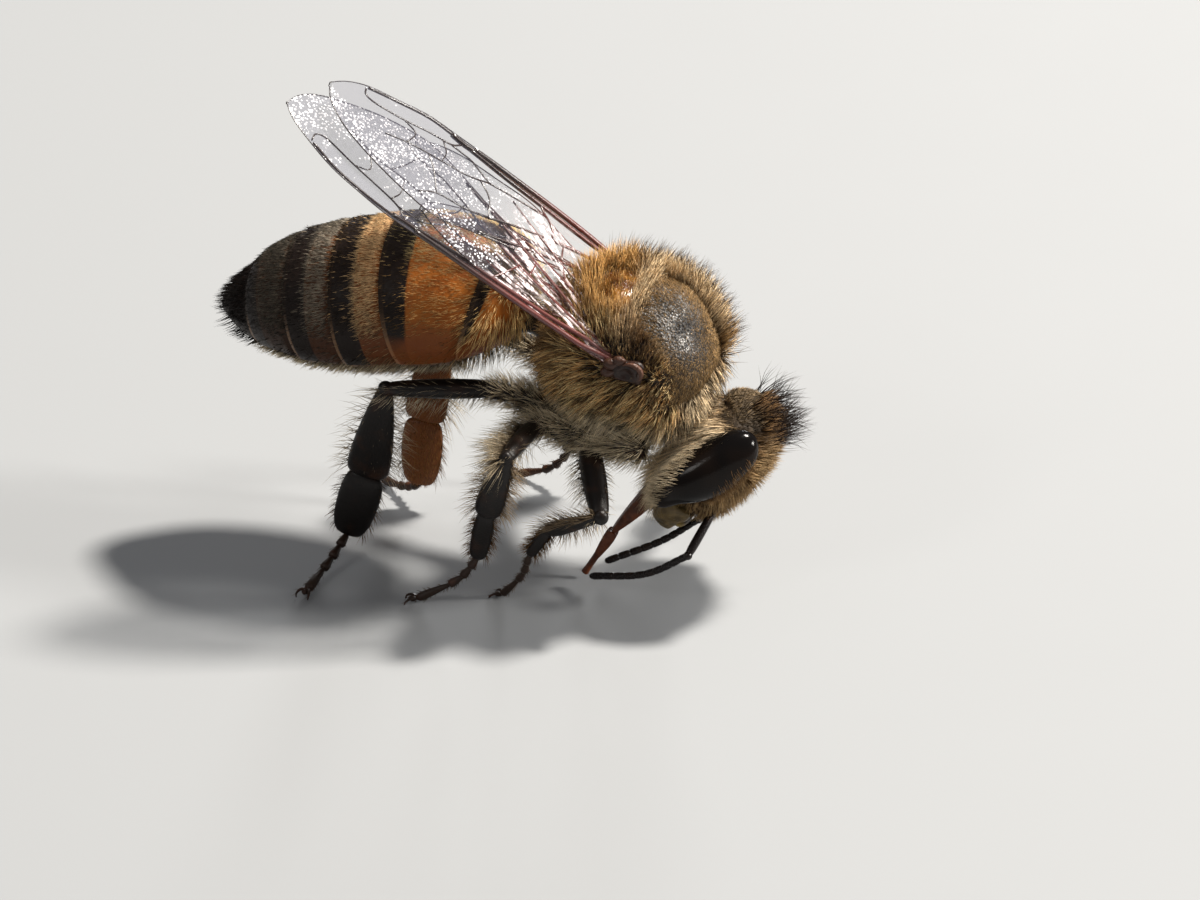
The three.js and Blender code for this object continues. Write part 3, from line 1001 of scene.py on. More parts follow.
def grow_thorax_stubble(shell):
    """Very short hairs over the worn patch, fewer where it shines."""

    def weigh(places, normals):
        return smooth(bareness(places), 0.1, 0.4) * (1.15 - polish_and_painted_highlight(places))

    roots = scatter(shell, *STUBBLE, weigh)
    root, _, chance = roots
    tone = varied(blend(HAIR_TAN, HAIR_BROWN, 0.5), roots, 0.5)
    lie = jittered(on_thorax(-1, 0, -0.6), roots, 0.3)
    length = chance.uniform(0.07, 0.19, len(root)) * (1 - 0.5 * polish_and_painted_highlight(root))
    grow("thorax_stubble", "furred_body", roots, lie, length, 0.0065, 32, tone,
         round_patch(root, THORAX_CENTRE, THORAX_AXES), steps=2)


def grow_bristles(name, shell, many, weigh, way, patch, long, half, lift, tone, **ways):
    """Long single hairs with black tips that stand up out of the coat."""
    roots = scatter(shell, *many, weigh)
    root, _, chance = roots
    lie = jittered(way, roots, 0.3)
    length = chance.uniform(*long, len(root))
    lift = chance.normal(*lift, len(root))
    grow(name, "furred_body", roots, lie, length, half, lift, tone, round_patch(root, *patch),
         tip_tone=HAIR_DARK, **ways)


def on_top(places, normals):
    """Where guard hairs stand on the thorax: over its top, beside the worn patch."""
    forward, left, up = unit(places @ THORAX_AXES).T
    top = smooth(up, 0.05, 0.3) * smooth(forward, -0.75, -0.35)
    return top * smooth(left, 0.12, 0.3) * (1 - smooth(bareness(places), 0.0, 0.2))


TEGULA_HALF = (0.38, 0.18, 0.24)
# Pulls on a wing-root shell: a comma-shaped outline, and a hollow behind its raised front rim.
TEGULA_PULLS = [
    (-0.3, 0, -0.15, -0.10, -0.08, -0.06, 0.4),
    (0.3, 0.1, 0.2, 0.06, 0, 0.08, 0.3),
    (0.2, 0.05, -0.20, 0.06, -0.10, -0.16, 0.22),
    (0.36, 0.05, 0.0, -0.09, -0.02, 0.02, 0.16),
    (-0.2, 0.12, 0.22, -0.08, -0.05, 0.05, 0.2),
    (-0.02, 0.2, -0.03, 0, -0.17, 0, 0.24),
    (-0.14, 0.2, 0.06, 0, 0.06, 0, 0.10),
]


def make_tegula(side):
    sign = SIDES[side]
    place = vec(TEGULA_FORWARD, sign * 1.86, 0.5)
    scale = ball(f"tegula_{side}_scale", place, TEGULA_HALF, None, 32, 20)
    shape(scale, TEGULA_PULLS, place, np.eye(3), sign)
    soften(scale)
    start, end = place + vec(-0.15, -sign * 0.1, -0.02), place + vec(-0.6, -sign * 0.35, -0.02)
    hinge = rod("hinge", start, end, rounded((0, 0.17), (0.5, 0.13), (1, 0.15)), flat=0.7)
    turns = np.radians(np.linspace(130, -45, 16))
    arc = np.stack([0.26 * np.cos(turns) + 0.10, 0 * turns + sign * 0.12, 0.22 * np.sin(turns)], 1)
    ridge = line_tube("ridge", place + arc, 0.065 * np.sin(np.linspace(0.1, math.pi - 0.1, 16)), 4)
    shade(ridge)
    # Painted highlight: the ridge along the front rim, and partly the knobs below, are coloured a lighter
    # red-brown.
    mark(ridge, ridge=np.ones(len(ridge.data.vertices)))
    parts = [scale, hinge, ridge]
    for forward, up, size in ((-0.34, 0.14, 0.13), (-0.16, 0.24, 0.11), (-0.42, -0.06, 0.12)):
        spot = place + vec(forward, sign * 0.04, up)
        knob = ball("knob", spot, (size * 1.3, size, size), None, 20, 14)
        shape(knob, [(size, 0.06, 0, 0.05, 0, 0.05, 0.12)], spot, np.eye(3), sign)
        shade(knob)
        mark(knob, ridge=np.full(len(knob.data.vertices), 0.5))
        parts.append(knob)
    scale = join(parts, f"tegula_{side}_scale")
    settle(scale, "brown_shell", f"tegula_{side}", paint=TEGULA_PAINT)


def make_neck():
    neck = rod("neck_skin", on_thorax(1.2, 0, -0.55), on_head(-0.45, 0, 0.1),
               [(0, 0.62), (0.4, 0.5), (0.8, 0.5), (1, 0.42)], sides=20)
    settle(neck, "furred_body", paint=NECK_PAINT)


def make_waist():
    waist = rod("waist_shell", on_thorax(-1.5, 0, 0.05), vec(-2.75, 0, 0.52),
                [(0, 0.62), (0.35, 0.5), (0.6, 0.3), (0.75, 0.34), (1, 0.5)], sides=20)
    settle(waist, "furred_body", "waist", paint=LEG_PAINT)


# ---- head: hung below the thorax, turned a little, with the face down and forward ---------------
HEAD_CENTRE = vec(1.9, 0.03, -2.3)
HEAD_HALF = (0.86, 1.40, 1.56)
HEAD_LEFT = unit(vec(-0.142, 0.945, -0.292))
HEAD_FORWARD = unit(np.cross(HEAD_LEFT, vec(0.641, 0.3125, 0.701)))
HEAD_AXES = np.array([HEAD_FORWARD, HEAD_LEFT, np.cross(HEAD_FORWARD, HEAD_LEFT)]).T
# Pulls on the face, the back of the head and the crown, and then on both cheeks.
HEAD_PULLS = [
    (0.75, 0, -1.0, 0.22, 0, -0.02, 0.7),
    (0.85, 0, -0.1, -0.08, 0, 0, 0.5),
    (-0.85, 0, -0.2, 0.34, 0, 0, 1.1),
    (0, 0, 1.5, -0.04, 0, 0.05, 0.6),
    (-0.55, 0, 1.15, -0.16, 0, 0.16, 0.8),
]
HEAD_SIDE_PULLS = [
    (0.1, 1.05, -1.15, 0, -0.34, 0, 0.9),
    (-0.3, 1.25, 0.4, -0.05, 0.06, 0, 0.7),
]
EYE_HALF = (0.58, 0.50, 1.34)
EYE_AXES = HEAD_AXES @ pitched(10)
EYE_PULLS = [
    (0.50, 0, 0.3, 0.10, 0, 0, 0.9),
    (0.30, 0.2, 1.05, 0.10, 0, 0.04, 0.6),
    (0.45, 0, -0.9, -0.12, 0, 0, 0.6),
    (-0.42, 0.2, 0.2, 0.05, 0, 0, 0.8),
    (0.1, 0.2, -1.25, 0, -0.12, 0, 0.7),
]


def on_head(forward, left, up):
    return HEAD_CENTRE + HEAD_AXES @ vec(forward, left, up)


def head_way(forward, left, up):
    return HEAD_AXES @ vec(forward, left, up)


def head_local(places):
    """Forward, left and up on the head, as three rows."""
    return ((places - HEAD_CENTRE) @ HEAD_AXES).T


def temples(forward, left, up):
    """1 on the brown, nearly bare shell behind the top of each eye and behind the crown."""
    beside = bell(np.abs(left), 0.80, 0.38) * bell(up, 1.08, 0.36) * (1 - smooth(forward, 0.05, 0.3))
    return np.maximum(beside, smooth(up, 0.85, 1.15) * (1 - smooth(forward, -0.45, -0.15)))


def make_head():
    shell = ball("head_shell", on_head(0, 0, -0.06), HEAD_HALF, HEAD_AXES)
    for sign in SIDES.values():
        shape(shell, HEAD_SIDE_PULLS, HEAD_CENTRE, HEAD_AXES, sign)
    shape(shell, HEAD_PULLS, HEAD_CENTRE, HEAD_AXES)
    soften(shell)
    forward, left, up = head_local(places_of(shell))
    lip = smooth(-up, 1.22, 1.36) * smooth(forward, 0.0, 0.25) * (1 - smooth(np.abs(left), 0.5, 0.7))
    mark(shell, pale=lip, temple=temples(forward, left, up))
    return settle(shell, "furred_body", "head", paint=FACE_PAINT)


def make_eye(side):
    sign = SIDES[side]
    centre = on_head(-0.07, sign * 1.33, -0.22)
    eye = ball(f"eye_{side}_lens", centre, EYE_HALF, EYE_AXES, 56, 40)
    shape(eye, EYE_PULLS, centre, EYE_AXES, sign)
    soften(eye)
    return settle(eye, "eye", f"eye_{side}", paint=EYE_PAINT)


def make_ocelli():
    lenses = []
    for forward, left, up in ((0.26, 0, 1.30), (-0.02, 0.24, 1.42), (-0.02, -0.24, 1.42)):
        place = on_head(forward, left, up)
        lens = ball("ocellus", place, (0.13, 0.13, 0.13), HEAD_AXES, 24, 16)
        shape(lens, [(0.05, 0, 0.12, 0.01, 0, 0.03, 0.12)], place, HEAD_AXES)
        shade(lens)
        lenses.append(lens)
    settle(join(lenses, "ocelli"), "eye", paint=OCELLUS_PAINT)


# Half widths of the jaws and of the blades beside the tongue, by the share of their length.
JAW = rounded((0, 0.36), (0.2, 0.40), (0.5, 0.31), (0.75, 0.28), (0.95, 0.27))
MAXILLA = rounded((0, 0.12), (0.25, 0.2), (0.6, 0.19), (0.97, 0.07))


def make_mouth():
    lip = ball("labrum_plate", on_head(0.46, 0, -1.55), (0.17, 0.56, 0.28), HEAD_AXES, 40, 24)
    shape(lip, [(0.5, 0, -1.8, -0.06, 0, 0.05, 0.4)], HEAD_CENTRE, HEAD_AXES)
    soften(lip)
    mark(lip, pale=smooth(-head_local(places_of(lip))[2], 1.5, 1.7) * 0.6)
    settle(lip, "dark_shell", "labrum", paint=FACE_PAINT)
    face_way = head_way(1, 0, 0)
    for side, sign in SIDES.items():
        jaw = rod(f"mandible_{side}_jaw", on_head(0.16, sign * 0.66, -1.3),
                  on_head(0.16, sign * 0.22, -1.98), JAW, flat=0.45, broad=face_way, sides=16)
        shape(jaw, [(0.1, 0.6, -1.75, 0, 0.1, 0, 0.45)], HEAD_CENTRE, HEAD_AXES, sign)
        settle(jaw, "dark_shell", f"mandible_{side}", paint=JAW_PAINT)
    bend = min(ends_of("proboscis_base"), key=lambda end: end[2])
    throat = on_head(-0.5, 0, -1.1)
    parts = [rod("prementum", throat, bend, rounded((0, 0.2), (0.4, 0.24), (0.95, 0.13)), flat=0.8)]
    for sign in SIDES.values():
        start = throat + HEAD_LEFT * 0.22 * sign + head_way(0.12, 0, 0)
        parts.append(rod("maxilla", start, bend + HEAD_LEFT * 0.1 * sign, MAXILLA, 0.4, face_way))
    settle(join(parts, "proboscis_sheath"), "brown_shell", "proboscis_base", paint=TONGUE_PAINT)
    tip = min(ends_of("tongue"), key=lambda end: end[2])
    tip[2] = -STANCE + 0.14
    parts = [rod("glossa", bend, tip, rounded((0, 0.09), (0.5, 0.08), (0.9, 0.07), (0.97, 0.1)))]
    for sign in SIDES.values():
        beside = vec(0, 0.13 * sign, 0)
        start, end = bend + beside * 0.7, blend(bend, tip, 0.72) + beside
        galea = rounded((0, 0.13), (0.3, 0.15), (0.97, 0.04))
        parts.append(rod("galea", start, end, galea, 0.4, vec(0.5, 0, -1)))
    settle(join(parts, "tongue_tube"), "brown_shell", "tongue", paint=TONGUE_PAINT)


# ---- feelers: a long first joint, and beads along a curve --------------------------------------
SCAPE = rounded((0, 0.085), (0.03, 0.1), (0.07, 0.06), (0.16, 0.09), (0.6, 0.108), (0.92, 0.105),
                (0.98, 0.08))
FLAGELLUM_BEAD = [(-0.04, 0.05), (0, 0.076), (0.12, 0.084), (0.5, 0.087), (0.88, 0.086), (0.98, 0.078),
                  (1.03, 0.05)]
# Each feeler's root, elbow, middle and tip.
FEELERS = {
    "left": (on_head(0.74, 0.28, -0.72), vec(1.27, 0.75, -4.45), vec(0.5, 0.45, -4.95),
             vec(-0.5, -0.02, -5.3)),
    "right": (on_head(0.74, -0.28, -0.72), vec(1.62, -1.59, -4.03), vec(0.6, -1.35, -4.78),
              vec(-0.6, -1.0, -5.2)),
}


def copies(piece, stops, broad):
    """Copies from stop to stop of a piece made 1 mm long from the thorax's centre along +Z."""
    made = []
    for start, end in zip(stops[:-1], stops[1:]):
        stretch = Matrix.Diagonal((1, 1, np.linalg.norm(end - start), 1))
        copy = duplicate(piece)
        copy.data.transform(stretch @ Matrix.Translation(-ORIGIN))
        put(copy.data, start, basis(end - start, broad))
        made.append(copy)
    bpy.data.objects.remove(piece)
    return made


def make_feeler(side):
    root, elbow, middle, tip = FEELERS[side]
    tip = tip + unit(tip - middle) * 0.1
    scape = rod(f"scape_{side}_shell", root, elbow, SCAPE)
    socket = rod("socket", root - head_way(0.08, 0, -0.02), root + head_way(0.04, 0, -0.01),
                 rounded((0, 0.2), (0.6, 0.19), (1, 0.13)), sides=20)
    scape = join([scape, socket], f"scape_{side}_shell")
    settle(scape, "dark_shell", f"scape_{side}", paint=FEELER_PAINT)
    path = curve_through([elbow, middle, tip], 11)
    beads = copies(rod("bead", vec(0, 0, 0), vec(0, 0, 1), FLAGELLUM_BEAD), path, vec(0, 1, 0))
    pedicel = ball("pedicel", elbow, (0.10, 0.10, 0.10), None, 16, 12)
    end = ball("end", path[-1], (0.08, 0.07, 0.07), None, 16, 12)
    beads = join([*beads, pedicel, end], f"flagellum_{side}_beads")
    settle(beads, "dark_shell", f"flagellum_{side}", paint=FEELER_PAINT)


# ---- fur of the head and the eyes ---------------------------------------------------------------
def grow_head_fur(shell):
    def weigh(places, normals):
        forward, left, up = head_local(places)
        eye = bell(np.abs(left), 1.33, 0.44) * bell(up, -0.22, 1.15) * bell(forward, 0.02, 0.56)
        neck = smooth(np.linalg.norm(places - on_head(-0.7, 0, 0), axis=1), 0.3, 0.6)
        mouth = 1 - smooth(-up, 1.15, 1.35) * smooth(forward, -0.1, 0.2)
        nap = 1 + 0.5 * np.clip(1.3 * temples(forward, left, up), 0, 1)
        return (1 - np.clip(eye * 1.7, 0, 1)) * neck * mouth * nap

    roots = scatter(shell, *HEAD_FUR, weigh)
    root, _, chance = roots
    total = len(root)
    forward, left, up = head_local(root)
    crown = smooth(up, 0.75, 1.15)
    cheek = smooth(-forward, 0.05, 0.35) * (1 - crown)
    still = np.zeros(total)
    lie = np.stack([still + 0.3, np.sign(left) * 0.2, -0.55 + 0.8 * smooth(up, -0.6, 0.6)], 1)
    lie = blend(lie, vec(0.55, 0, 1.0), crown[:, None])
    lie = blend(lie, vec(-0.1, 0, -1.0), cheek[:, None])
    temple = smooth(temples(forward, left, up), 0.2, 0.7)
    cheek *= 1 - temple
    front = (1 - cheek) * (1 - crown) * (1 - temple)
    lift = 62 - 38 * cheek + 14 * front - 30 * temple + chance.normal(0, 9, total) * (1 - 0.4 * front)
    length = chance.normal(0.36, 0.07, total).clip(0.15, 0.55) - 0.08 * crown
    length += cheek * chance.uniform(0.1, 0.55, total)
    length *= 1 - 0.45 * smooth(-up, 0.1, 1.0) * (1 - cheek)
    length = blend(length, chance.uniform(0.08, 0.18, total), temple)
    beside = np.stack([forward, np.abs(left), up], 1) - vec(0.12, 1.12, 1.0)
    socket = 1 - smooth(np.linalg.norm(beside, axis=1), 0.25, 0.5)
    dark = smooth(up, 0.5, 1.0) * (1 - cheek) * 0.6 * (1 - temple)
    dark = np.maximum(dark, socket * 0.9)[:, None]
    tone = blend(HAIR_GOLD, HAIR_CREAM, 0.15) * (1 - 0.18 * front[:, None])
    tone = blend(tone, HAIR_BROWN * 1.5, crown[:, None] * 0.9)
    tone = blend(tone, vec(1.3, 1.02, 0.66), cheek[:, None] * 0.95)
    tone = varied(blend(tone, HAIR_OLIVE, temple[:, None]), roots)
    tone = blend(tone, tone * 0.35, socket[:, None])
    # Painted light on each hair: roots darker as painted shade, tips lighter as a painted highlight, save
    # the dark-tipped crown and sockets.
    grow("head_fur", "furred_body", roots, lie @ HEAD_AXES.T, length, 0.0095, lift,
         blend(tone * 0.7, HAIR_BROWN, front[:, None] * 0.8), round_patch(root, HEAD_CENTRE, HEAD_AXES),
         steps=2, tip_tone=blend(tone * 1.25, HAIR_DARK, dark), gather=0.5 - 0.35 * front, clump=10,
         patchy=0.25 + 0.45 * cheek)


def on_crown(places, normals):
    forward, left, up = head_local(places)
    crown = smooth(up, 0.75, 1.15) * smooth(forward, -0.45, -0.10)
    return crown * (1 - smooth(np.abs(left), 0.7, 0.95))


def grow_eye_fur(side, eye):
    """Brown and gold hairs that edge the eye's front, and pale ones that lie back from its rear."""
    sign = SIDES[side]

    def weigh(places, normals):
        forward, left, up = head_local(places)
        front = smooth(forward, 0.28, 0.50) * smooth(-up, -0.9, -0.3) * (1 - smooth(-up, 0.8, 1.2))
        behind = smooth(-forward - 0.18 * up, 0.36, 0.56) * smooth(-up, -0.8, -0.4)
        return smooth(left * sign, 0.95, 1.25) * front + (left * sign > 1.1) * behind * 0.8

    roots = scatter(eye, *LASHES, weigh)
    root, _, chance = roots
    behind = (head_local(root)[0] < 0).astype(float)[:, None]
    lie = jittered(blend(head_way(1.0, 0, -0.3), head_way(-0.7, 0, -0.6), behind), roots, 0.15)
    tone = varied(blend(blend(HAIR_GOLD, HAIR_BROWN, 0.3), HAIR_CREAM * 1.2, behind), roots)
    length = chance.uniform(0.10, 0.30, len(root)) + 0.12 * behind[:, 0]
    grow(f"eye_{side}_lashes", "furred_body", roots, lie, length, 0.0055, 38 - 12 * behind[:, 0],
         blend(tone, HAIR_BROWN, 0.9 - 0.7 * behind), round_patch(root, HEAD_CENTRE, HEAD_AXES),
         tip_tone=tone, steps=2)


# ---- abdomen: overlapping rings, each of a back plate and a belly plate -------------------------
SPINE = [(-2.4, 0, 0.4), (-3.5, 0, 0.85), (-4.6, 0, 0.85), (-5.7, 0, 0.64), (-7.5, 0, 0.3),
         (-8.5, 0, 0.04), (-9.4, 0, -0.1)]
# Half widths by the share of the spine's length.
GIRTH = [(0, 0.40), (0.04, 0.98), (0.1, 1.56), (0.18, 1.90), (0.3, 2.02), (0.46, 2.0), (0.6, 1.9),
         (0.72, 1.70), (0.82, 1.36), (0.9, 0.93), (0.96, 0.50), (1, 0.10)]
FLATNESS = 0.82
RINGS = np.array((0, 0.15, 0.385, 0.555, 0.71, 0.865, 1))
# For each ring: how amber it is, where along it the black starts, and its hair.
AMBER_OF = np.array((1.0, 1.0, 0.62, 0.22, 0.08, 0.0))
BLACK_FROM = np.array((0.86, 0.70, 0.52, 0.56, 0.66, 0.1))
RING_HAIR = np.array([(1.02, 0.67, 0.28), (0.82, 0.48, 0.18), (1.0, 0.67, 0.35), HAIR_GREY * 0.70,
                      HAIR_GREY * 0.25, HAIR_DARK])
SPINE_LINE = curve_through(SPINE, 400)
SPINE_SHARE = np.append(0, np.cumsum(np.linalg.norm(np.diff(SPINE_LINE, axis=0), axis=1)))
SPINE_SHARE /= SPINE_SHARE[-1]


def girth(share):
    fine = np.linspace(0, 1, 201)
    raw = np.interp(fine, *np.array(GIRTH).T)
    eased = np.convolve(np.pad(raw, 6, mode="reflect", reflect_type="odd"), np.ones(13) / 13, "valid")
    return np.interp(share, fine, np.maximum(eased, 0.08))


def on_spine(share):
    return np.stack([np.interp(share, SPINE_SHARE, line) for line in SPINE_LINE.T], 1)


def abdomen_point(share, angle, growth=0.0, scale=1.0):
    """A point of the abdomen's surface. angle is 0 along the back and 180 degrees underneath."""
    up = np.cross(vec(0, 1, 0), unit(on_spine(share + 0.01) - on_spine(share - 0.01)))
    half = (girth(share) * scale + growth)[:, None]
    left = vec(0, 1, 0) * half * np.sin(angle)[:, None]
    return on_spine(share) + left + up * half * FLATNESS * np.cos(angle)[:, None]


def abdomen_spot(places):
    """The share along the spine, the angle round it, the ring, and the share along the ring."""
    shares = []
    for rows in np.array_split(places, max(1, len(places) // 4000)):
        gap = np.linalg.norm(rows[:, None, ::2] - SPINE_LINE[None, ::2, ::2], axis=2)
        shares.append(SPINE_SHARE[::2][gap.argmin(1)])
    share = np.concatenate(shares)
    angle = np.arctan2(places[:, 1], (places[:, 2] - on_spine(share)[:, 2]) / FLATNESS)
    ring = np.clip(np.searchsorted(RINGS, share, side="right") - 1, 0, 5)
    return share, angle, ring, (share - RINGS[ring]) / (RINGS[ring + 1] - RINGS[ring])


def degrees_round(angle):
    return np.abs(np.degrees(angle))


def markings(ring, along, angle):
    """How black, amber and shaded the shell is at a place on a ring."""
    around = degrees_round(angle)
    black = smooth(along, BLACK_FROM[ring] - 0.05, BLACK_FROM[ring] + 0.05)
    black = black * (1 - 0.60 * smooth(around, 66, 112) * (ring < 2))
    gap = np.where(angle < 0, 28, 52)  # half the amber gap over the back of the first ring's band
    black = black * (1 - 0.85 * (ring == 0) * (1 - smooth(around - gap, -10, 10)))
    return black, AMBER_OF[ring], smooth(around, 66, 100)


def make_plate(name, ring, angles, scale, paint, columns=72, rows=20):
    """One curved plate of a ring, tucked under the plate ahead and lapping over the next."""
    clear_selection()
    bpy.ops.mesh.primitive_grid_add(x_subdivisions=columns, y_subdivisions=rows, size=MM)
    plate = bpy.context.object
    plate.name = name
    flat = read(plate.data, "co") / MM
    first, last = RINGS[ring], min(RINGS[ring + 1] + 0.006, 0.992)
    start = max(first - 0.016, 0.004)
    share = start + (0.5 - flat[:, 1]) * (last - start)
    low, high = np.radians(angles)
    angle = low + (flat[:, 0] + 0.5) * (high - low)
    along = np.clip((share - first) / (RINGS[ring + 1] - first), 0, 1.05)
    step = -0.05 * (1 - smooth(along, 0, 0.22)) + 0.025 * smooth(along, 0.3, 0.9)
    step -= 0.03 * smooth(along, 0.985, 1.03)
    move_to(plate, abdomen_point(share, angle, step, scale))
    black, amber, shadow = markings(np.full(len(share), ring), along, angle)
    mark(plate, rim=along, black=black, amber=amber, low=shadow)
    modify(plate, "SOLIDIFY", thickness=0.05 * MM, offset=-1.0)
    face_out(plate)
    shade(plate, 50)
    return settle(plate, "banded_abdomen", f"abdomen_{ring + 1}", paint=paint)


def make_abdomen():
    core = ball("abdomen_lining", vec(0, 0, 0), (1, 1, 1), None, 40, 60)
    x, y, z = places_of(core).T
    share = 0.004 + 0.992 * (1 - z) / 2
    angle = np.arctan2(y, x)
    reach = np.clip(np.hypot(x, y) / 0.25, 0, 1)[:, None]
    middle = abdomen_point(share, angle, 0, 0)
    move_to(core, blend(middle, abdomen_point(share, angle, -0.04, 0.93), reach))
    face_out(core)
    shade(core)
    settle(core, "banded_abdomen", paint=LINING_PAINT)
    plates = []
    belly, back = belly_paint(), abdomen_paint()
    for ring in range(6):
        plates.append(make_plate(f"belly_plate_{ring + 1}", ring, (242, 118), 0.965, belly, 40, 16))
        plates.append(make_plate(f"back_plate_{ring + 1}", ring, (126, -126), 1.0, back))
    return plates


def abdomen_tones(roots, ring, along, angle):
    """Colours of the abdomen's hairs by ring, with painted shade on the lower sides and painted glints of
    pale hairs on the black bands.
    """
    chance, count = roots[2], len(ring)
    around = degrees_round(angle)
    black, _, low = markings(ring, along + chance.normal(0, 0.03, count), angle)
    # Painted glints: one hair in ten on the front four rings keeps its pale colour where the band is
    # black.
    black *= chance.random(count) > 0.10 * (ring < 4)
    crest = (ring < 2) * (1 - smooth(around, 25, 50))
    tone = blend(RING_HAIR[ring], vec(0.98, 0.76, 0.38), crest[:, None])
    tone = blend(tone, HAIR_DARK, black[:, None] * 0.97)
    # Painted shade: hairs on the lower sides are darkened.
    tone = blend(tone, tone * 0.25, (low * (ring > 0))[:, None])
    tone = blend(tone, HAIR_CREAM * 0.8, (smooth(around, 120, 135) * (ring < 5))[:, None])
    return varied(tone, roots, 0.55)


def grow_abdomen_fur(plates):
    skin = join([duplicate(plate) for plate in plates], "skin")

    def weigh(places, normals):
        share, angle, ring, along = abdomen_spot(places)
        out = (normals * unit(places - abdomen_point(share, angle, 0, 0.5))).sum(1) > 0.2
        black = markings(ring, along, angle)[0]
        around = degrees_round(angle)
        low = np.where(ring > 0, smooth(around, 80, 98), smooth(around, 84, 106))
        fringe = 0.35 * smooth(around, 128, 138) * (1 - smooth(around, 150, 160))
        band = 0.6 + 1.0 * (ring > 1) * (along < 0.5) - 0.15 * (ring == 0) - 0.25 * (ring == 1)
        band += 0.4 * (ring < 2) * (1 - smooth(around, 25, 50))
        bare = 1 - 0.9 * bell(around, 60, 22) * bell(share, 0.085, 0.024)
        return out * (band * (1 - 0.45 * black) * (1 - 0.93 * low) + fringe) * (along < 0.98) * bare

    roots = scatter(skin, *ABDOMEN_FUR, weigh)
    bpy.data.objects.remove(skin)
    root, _, chance = roots
    total = len(root)
    share, angle, ring, along = abdomen_spot(root)
    front = 1 - smooth(share, 0.07, 0.21)
    tip = smooth(share, 0.84, 0.95)
    fringe = smooth(degrees_round(angle), 100, 125)
    ahead = unit(abdomen_point(share + 0.01, angle) - abdomen_point(share - 0.01, angle))
    droop = np.outer((0.25 + 0.9 * front) * np.abs(np.sin(angle)), vec(0, 0, -1))
    lift = 16 + 26 * front + 26 * tip + chance.normal(0, 5, total) + 26 * fringe
    length = chance.normal(0.18, 0.03, total).clip(0.1, 0.3) + 0.32 * front * chance.random(total)
    length += 0.12 * tip + 0.16 * fringe * chance.random(total)
    tone = abdomen_tones(roots, ring, along, angle)
    # Painted light on each hair: roots darker as painted shade in the coat, tips lighter as a painted
    # highlight.
    grow_in_parts(
        "abdomen_fur", 2, "banded_abdomen", roots, lie=ahead + droop, length=length,
        half=0.0095 - 0.002 * (ring < 2), lift=lift, tone=tone * 0.8, tip_tone=tone * 1.2, steps=2,
        gather=0.15 + 0.4 * front, clump=6, patchy=0.12 + 0.3 * front,
        patch=np.stack([(angle / (2 * math.pi)) % 1.0, share], 1) * MAP,
    )


# ---- legs: shells from joint to joint, with spurs, claws, fringes and brushes ------------------
PARTS = ("coxa", "femur", "tibia", "basitarsus", "tarsus")
LEG_FORM = {
    "front": {"coxa": 0.38, "femur": 0.30, "tibia": 0.22, "basitarsus": 0.15, "flat": 0.8, "foot": 0.09},
    "middle": {"coxa": 0.38, "femur": 0.25, "tibia": 0.34, "basitarsus": 0.24, "flat": 0.6, "foot": 0.10},
    "hind": {"coxa": 0.38, "femur": 0.3, "tibia": 0.5, "basitarsus": 0.5, "flat": 0.36, "foot": 0.11},
}
# Half widths of each part along its length, as shares of its form above.
LEG_PROFILES = {
    "coxa": [(0, 0.9), (0.4, 1.0), (0.8, 0.8), (1, 0.55)],
    "femur": [(0, 0.6), (0.12, 0.85), (0.4, 1.0), (0.75, 0.86), (0.97, 0.7)],
    "tibia": [(0, 0.50), (0.1, 0.58), (0.4, 0.82), (0.75, 1.0), (0.97, 0.88)],
    "basitarsus": [(0, 0.75), (0.1, 0.95), (0.5, 1.0), (0.85, 0.9), (0.97, 0.7)],
}
HIND_PROFILES = {
    "tibia": [(0, 0.32), (0.06, 0.4), (0.25, 0.62), (0.55, 0.88), (0.85, 1.0), (0.97, 0.96)],
    "basitarsus": [(0, 0.72), (0.08, 0.92), (0.4, 1.0), (0.8, 0.9), (0.97, 0.62)],
}
FOOT_BEAD = [(-0.03, 0.3), (0, 0.55), (0.3, 0.75), (0.8, 1.15), (0.95, 1.0), (1.03, 0.4)]
LEG_BROAD = vec(1, 0, 0.1)


def nearest_pair(first, second):
    pairs = [(np.linalg.norm(a - b), i, j) for i, a in enumerate(first) for j, b in enumerate(second)]
    return min(pairs)[1:]


def leg_joints(pair, side):
    """The leg's joints, from where its solids' ends meet."""
    femur, tibia, heel_part, foot_part = (ends_of(f"{pair}_{part}_{side}") for part in PARTS[1:])
    i, j = nearest_pair(femur, tibia)
    hip, knee = femur[1 - i], (femur[i] + tibia[j]) / 2
    i, j = nearest_pair(tibia, heel_part)
    ankle = (tibia[i] + heel_part[j]) / 2
    i, j = nearest_pair(heel_part, foot_part)
    heel, tip = (heel_part[i] + foot_part[j]) / 2, foot_part[1 - j]
    coxa = to_mm(middle_of(f"{pair}_coxa_{side}"))
    root = coxa + (coxa - hip) * 0.8
    points = places_of(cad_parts[f"{pair}_tarsus_{side}"])
    run = tip - foot_part[j]
    reach = (points - foot_part[j]) @ run / (run**2).sum()
    middle = (reach > 0.3) & (reach < 0.7)
    bend = points[middle].mean(0) if middle.any() else (heel + tip) / 2
    tip[2] = -STANCE + LEG_FORM[pair]["foot"]
    return root, hip, knee, ankle, heel, bend, tip


def keep_off_floor(piece):
    places = places_of(piece)
    places[:, 2] = np.maximum(places[:, 2], -STANCE)
    move_to(piece, places)


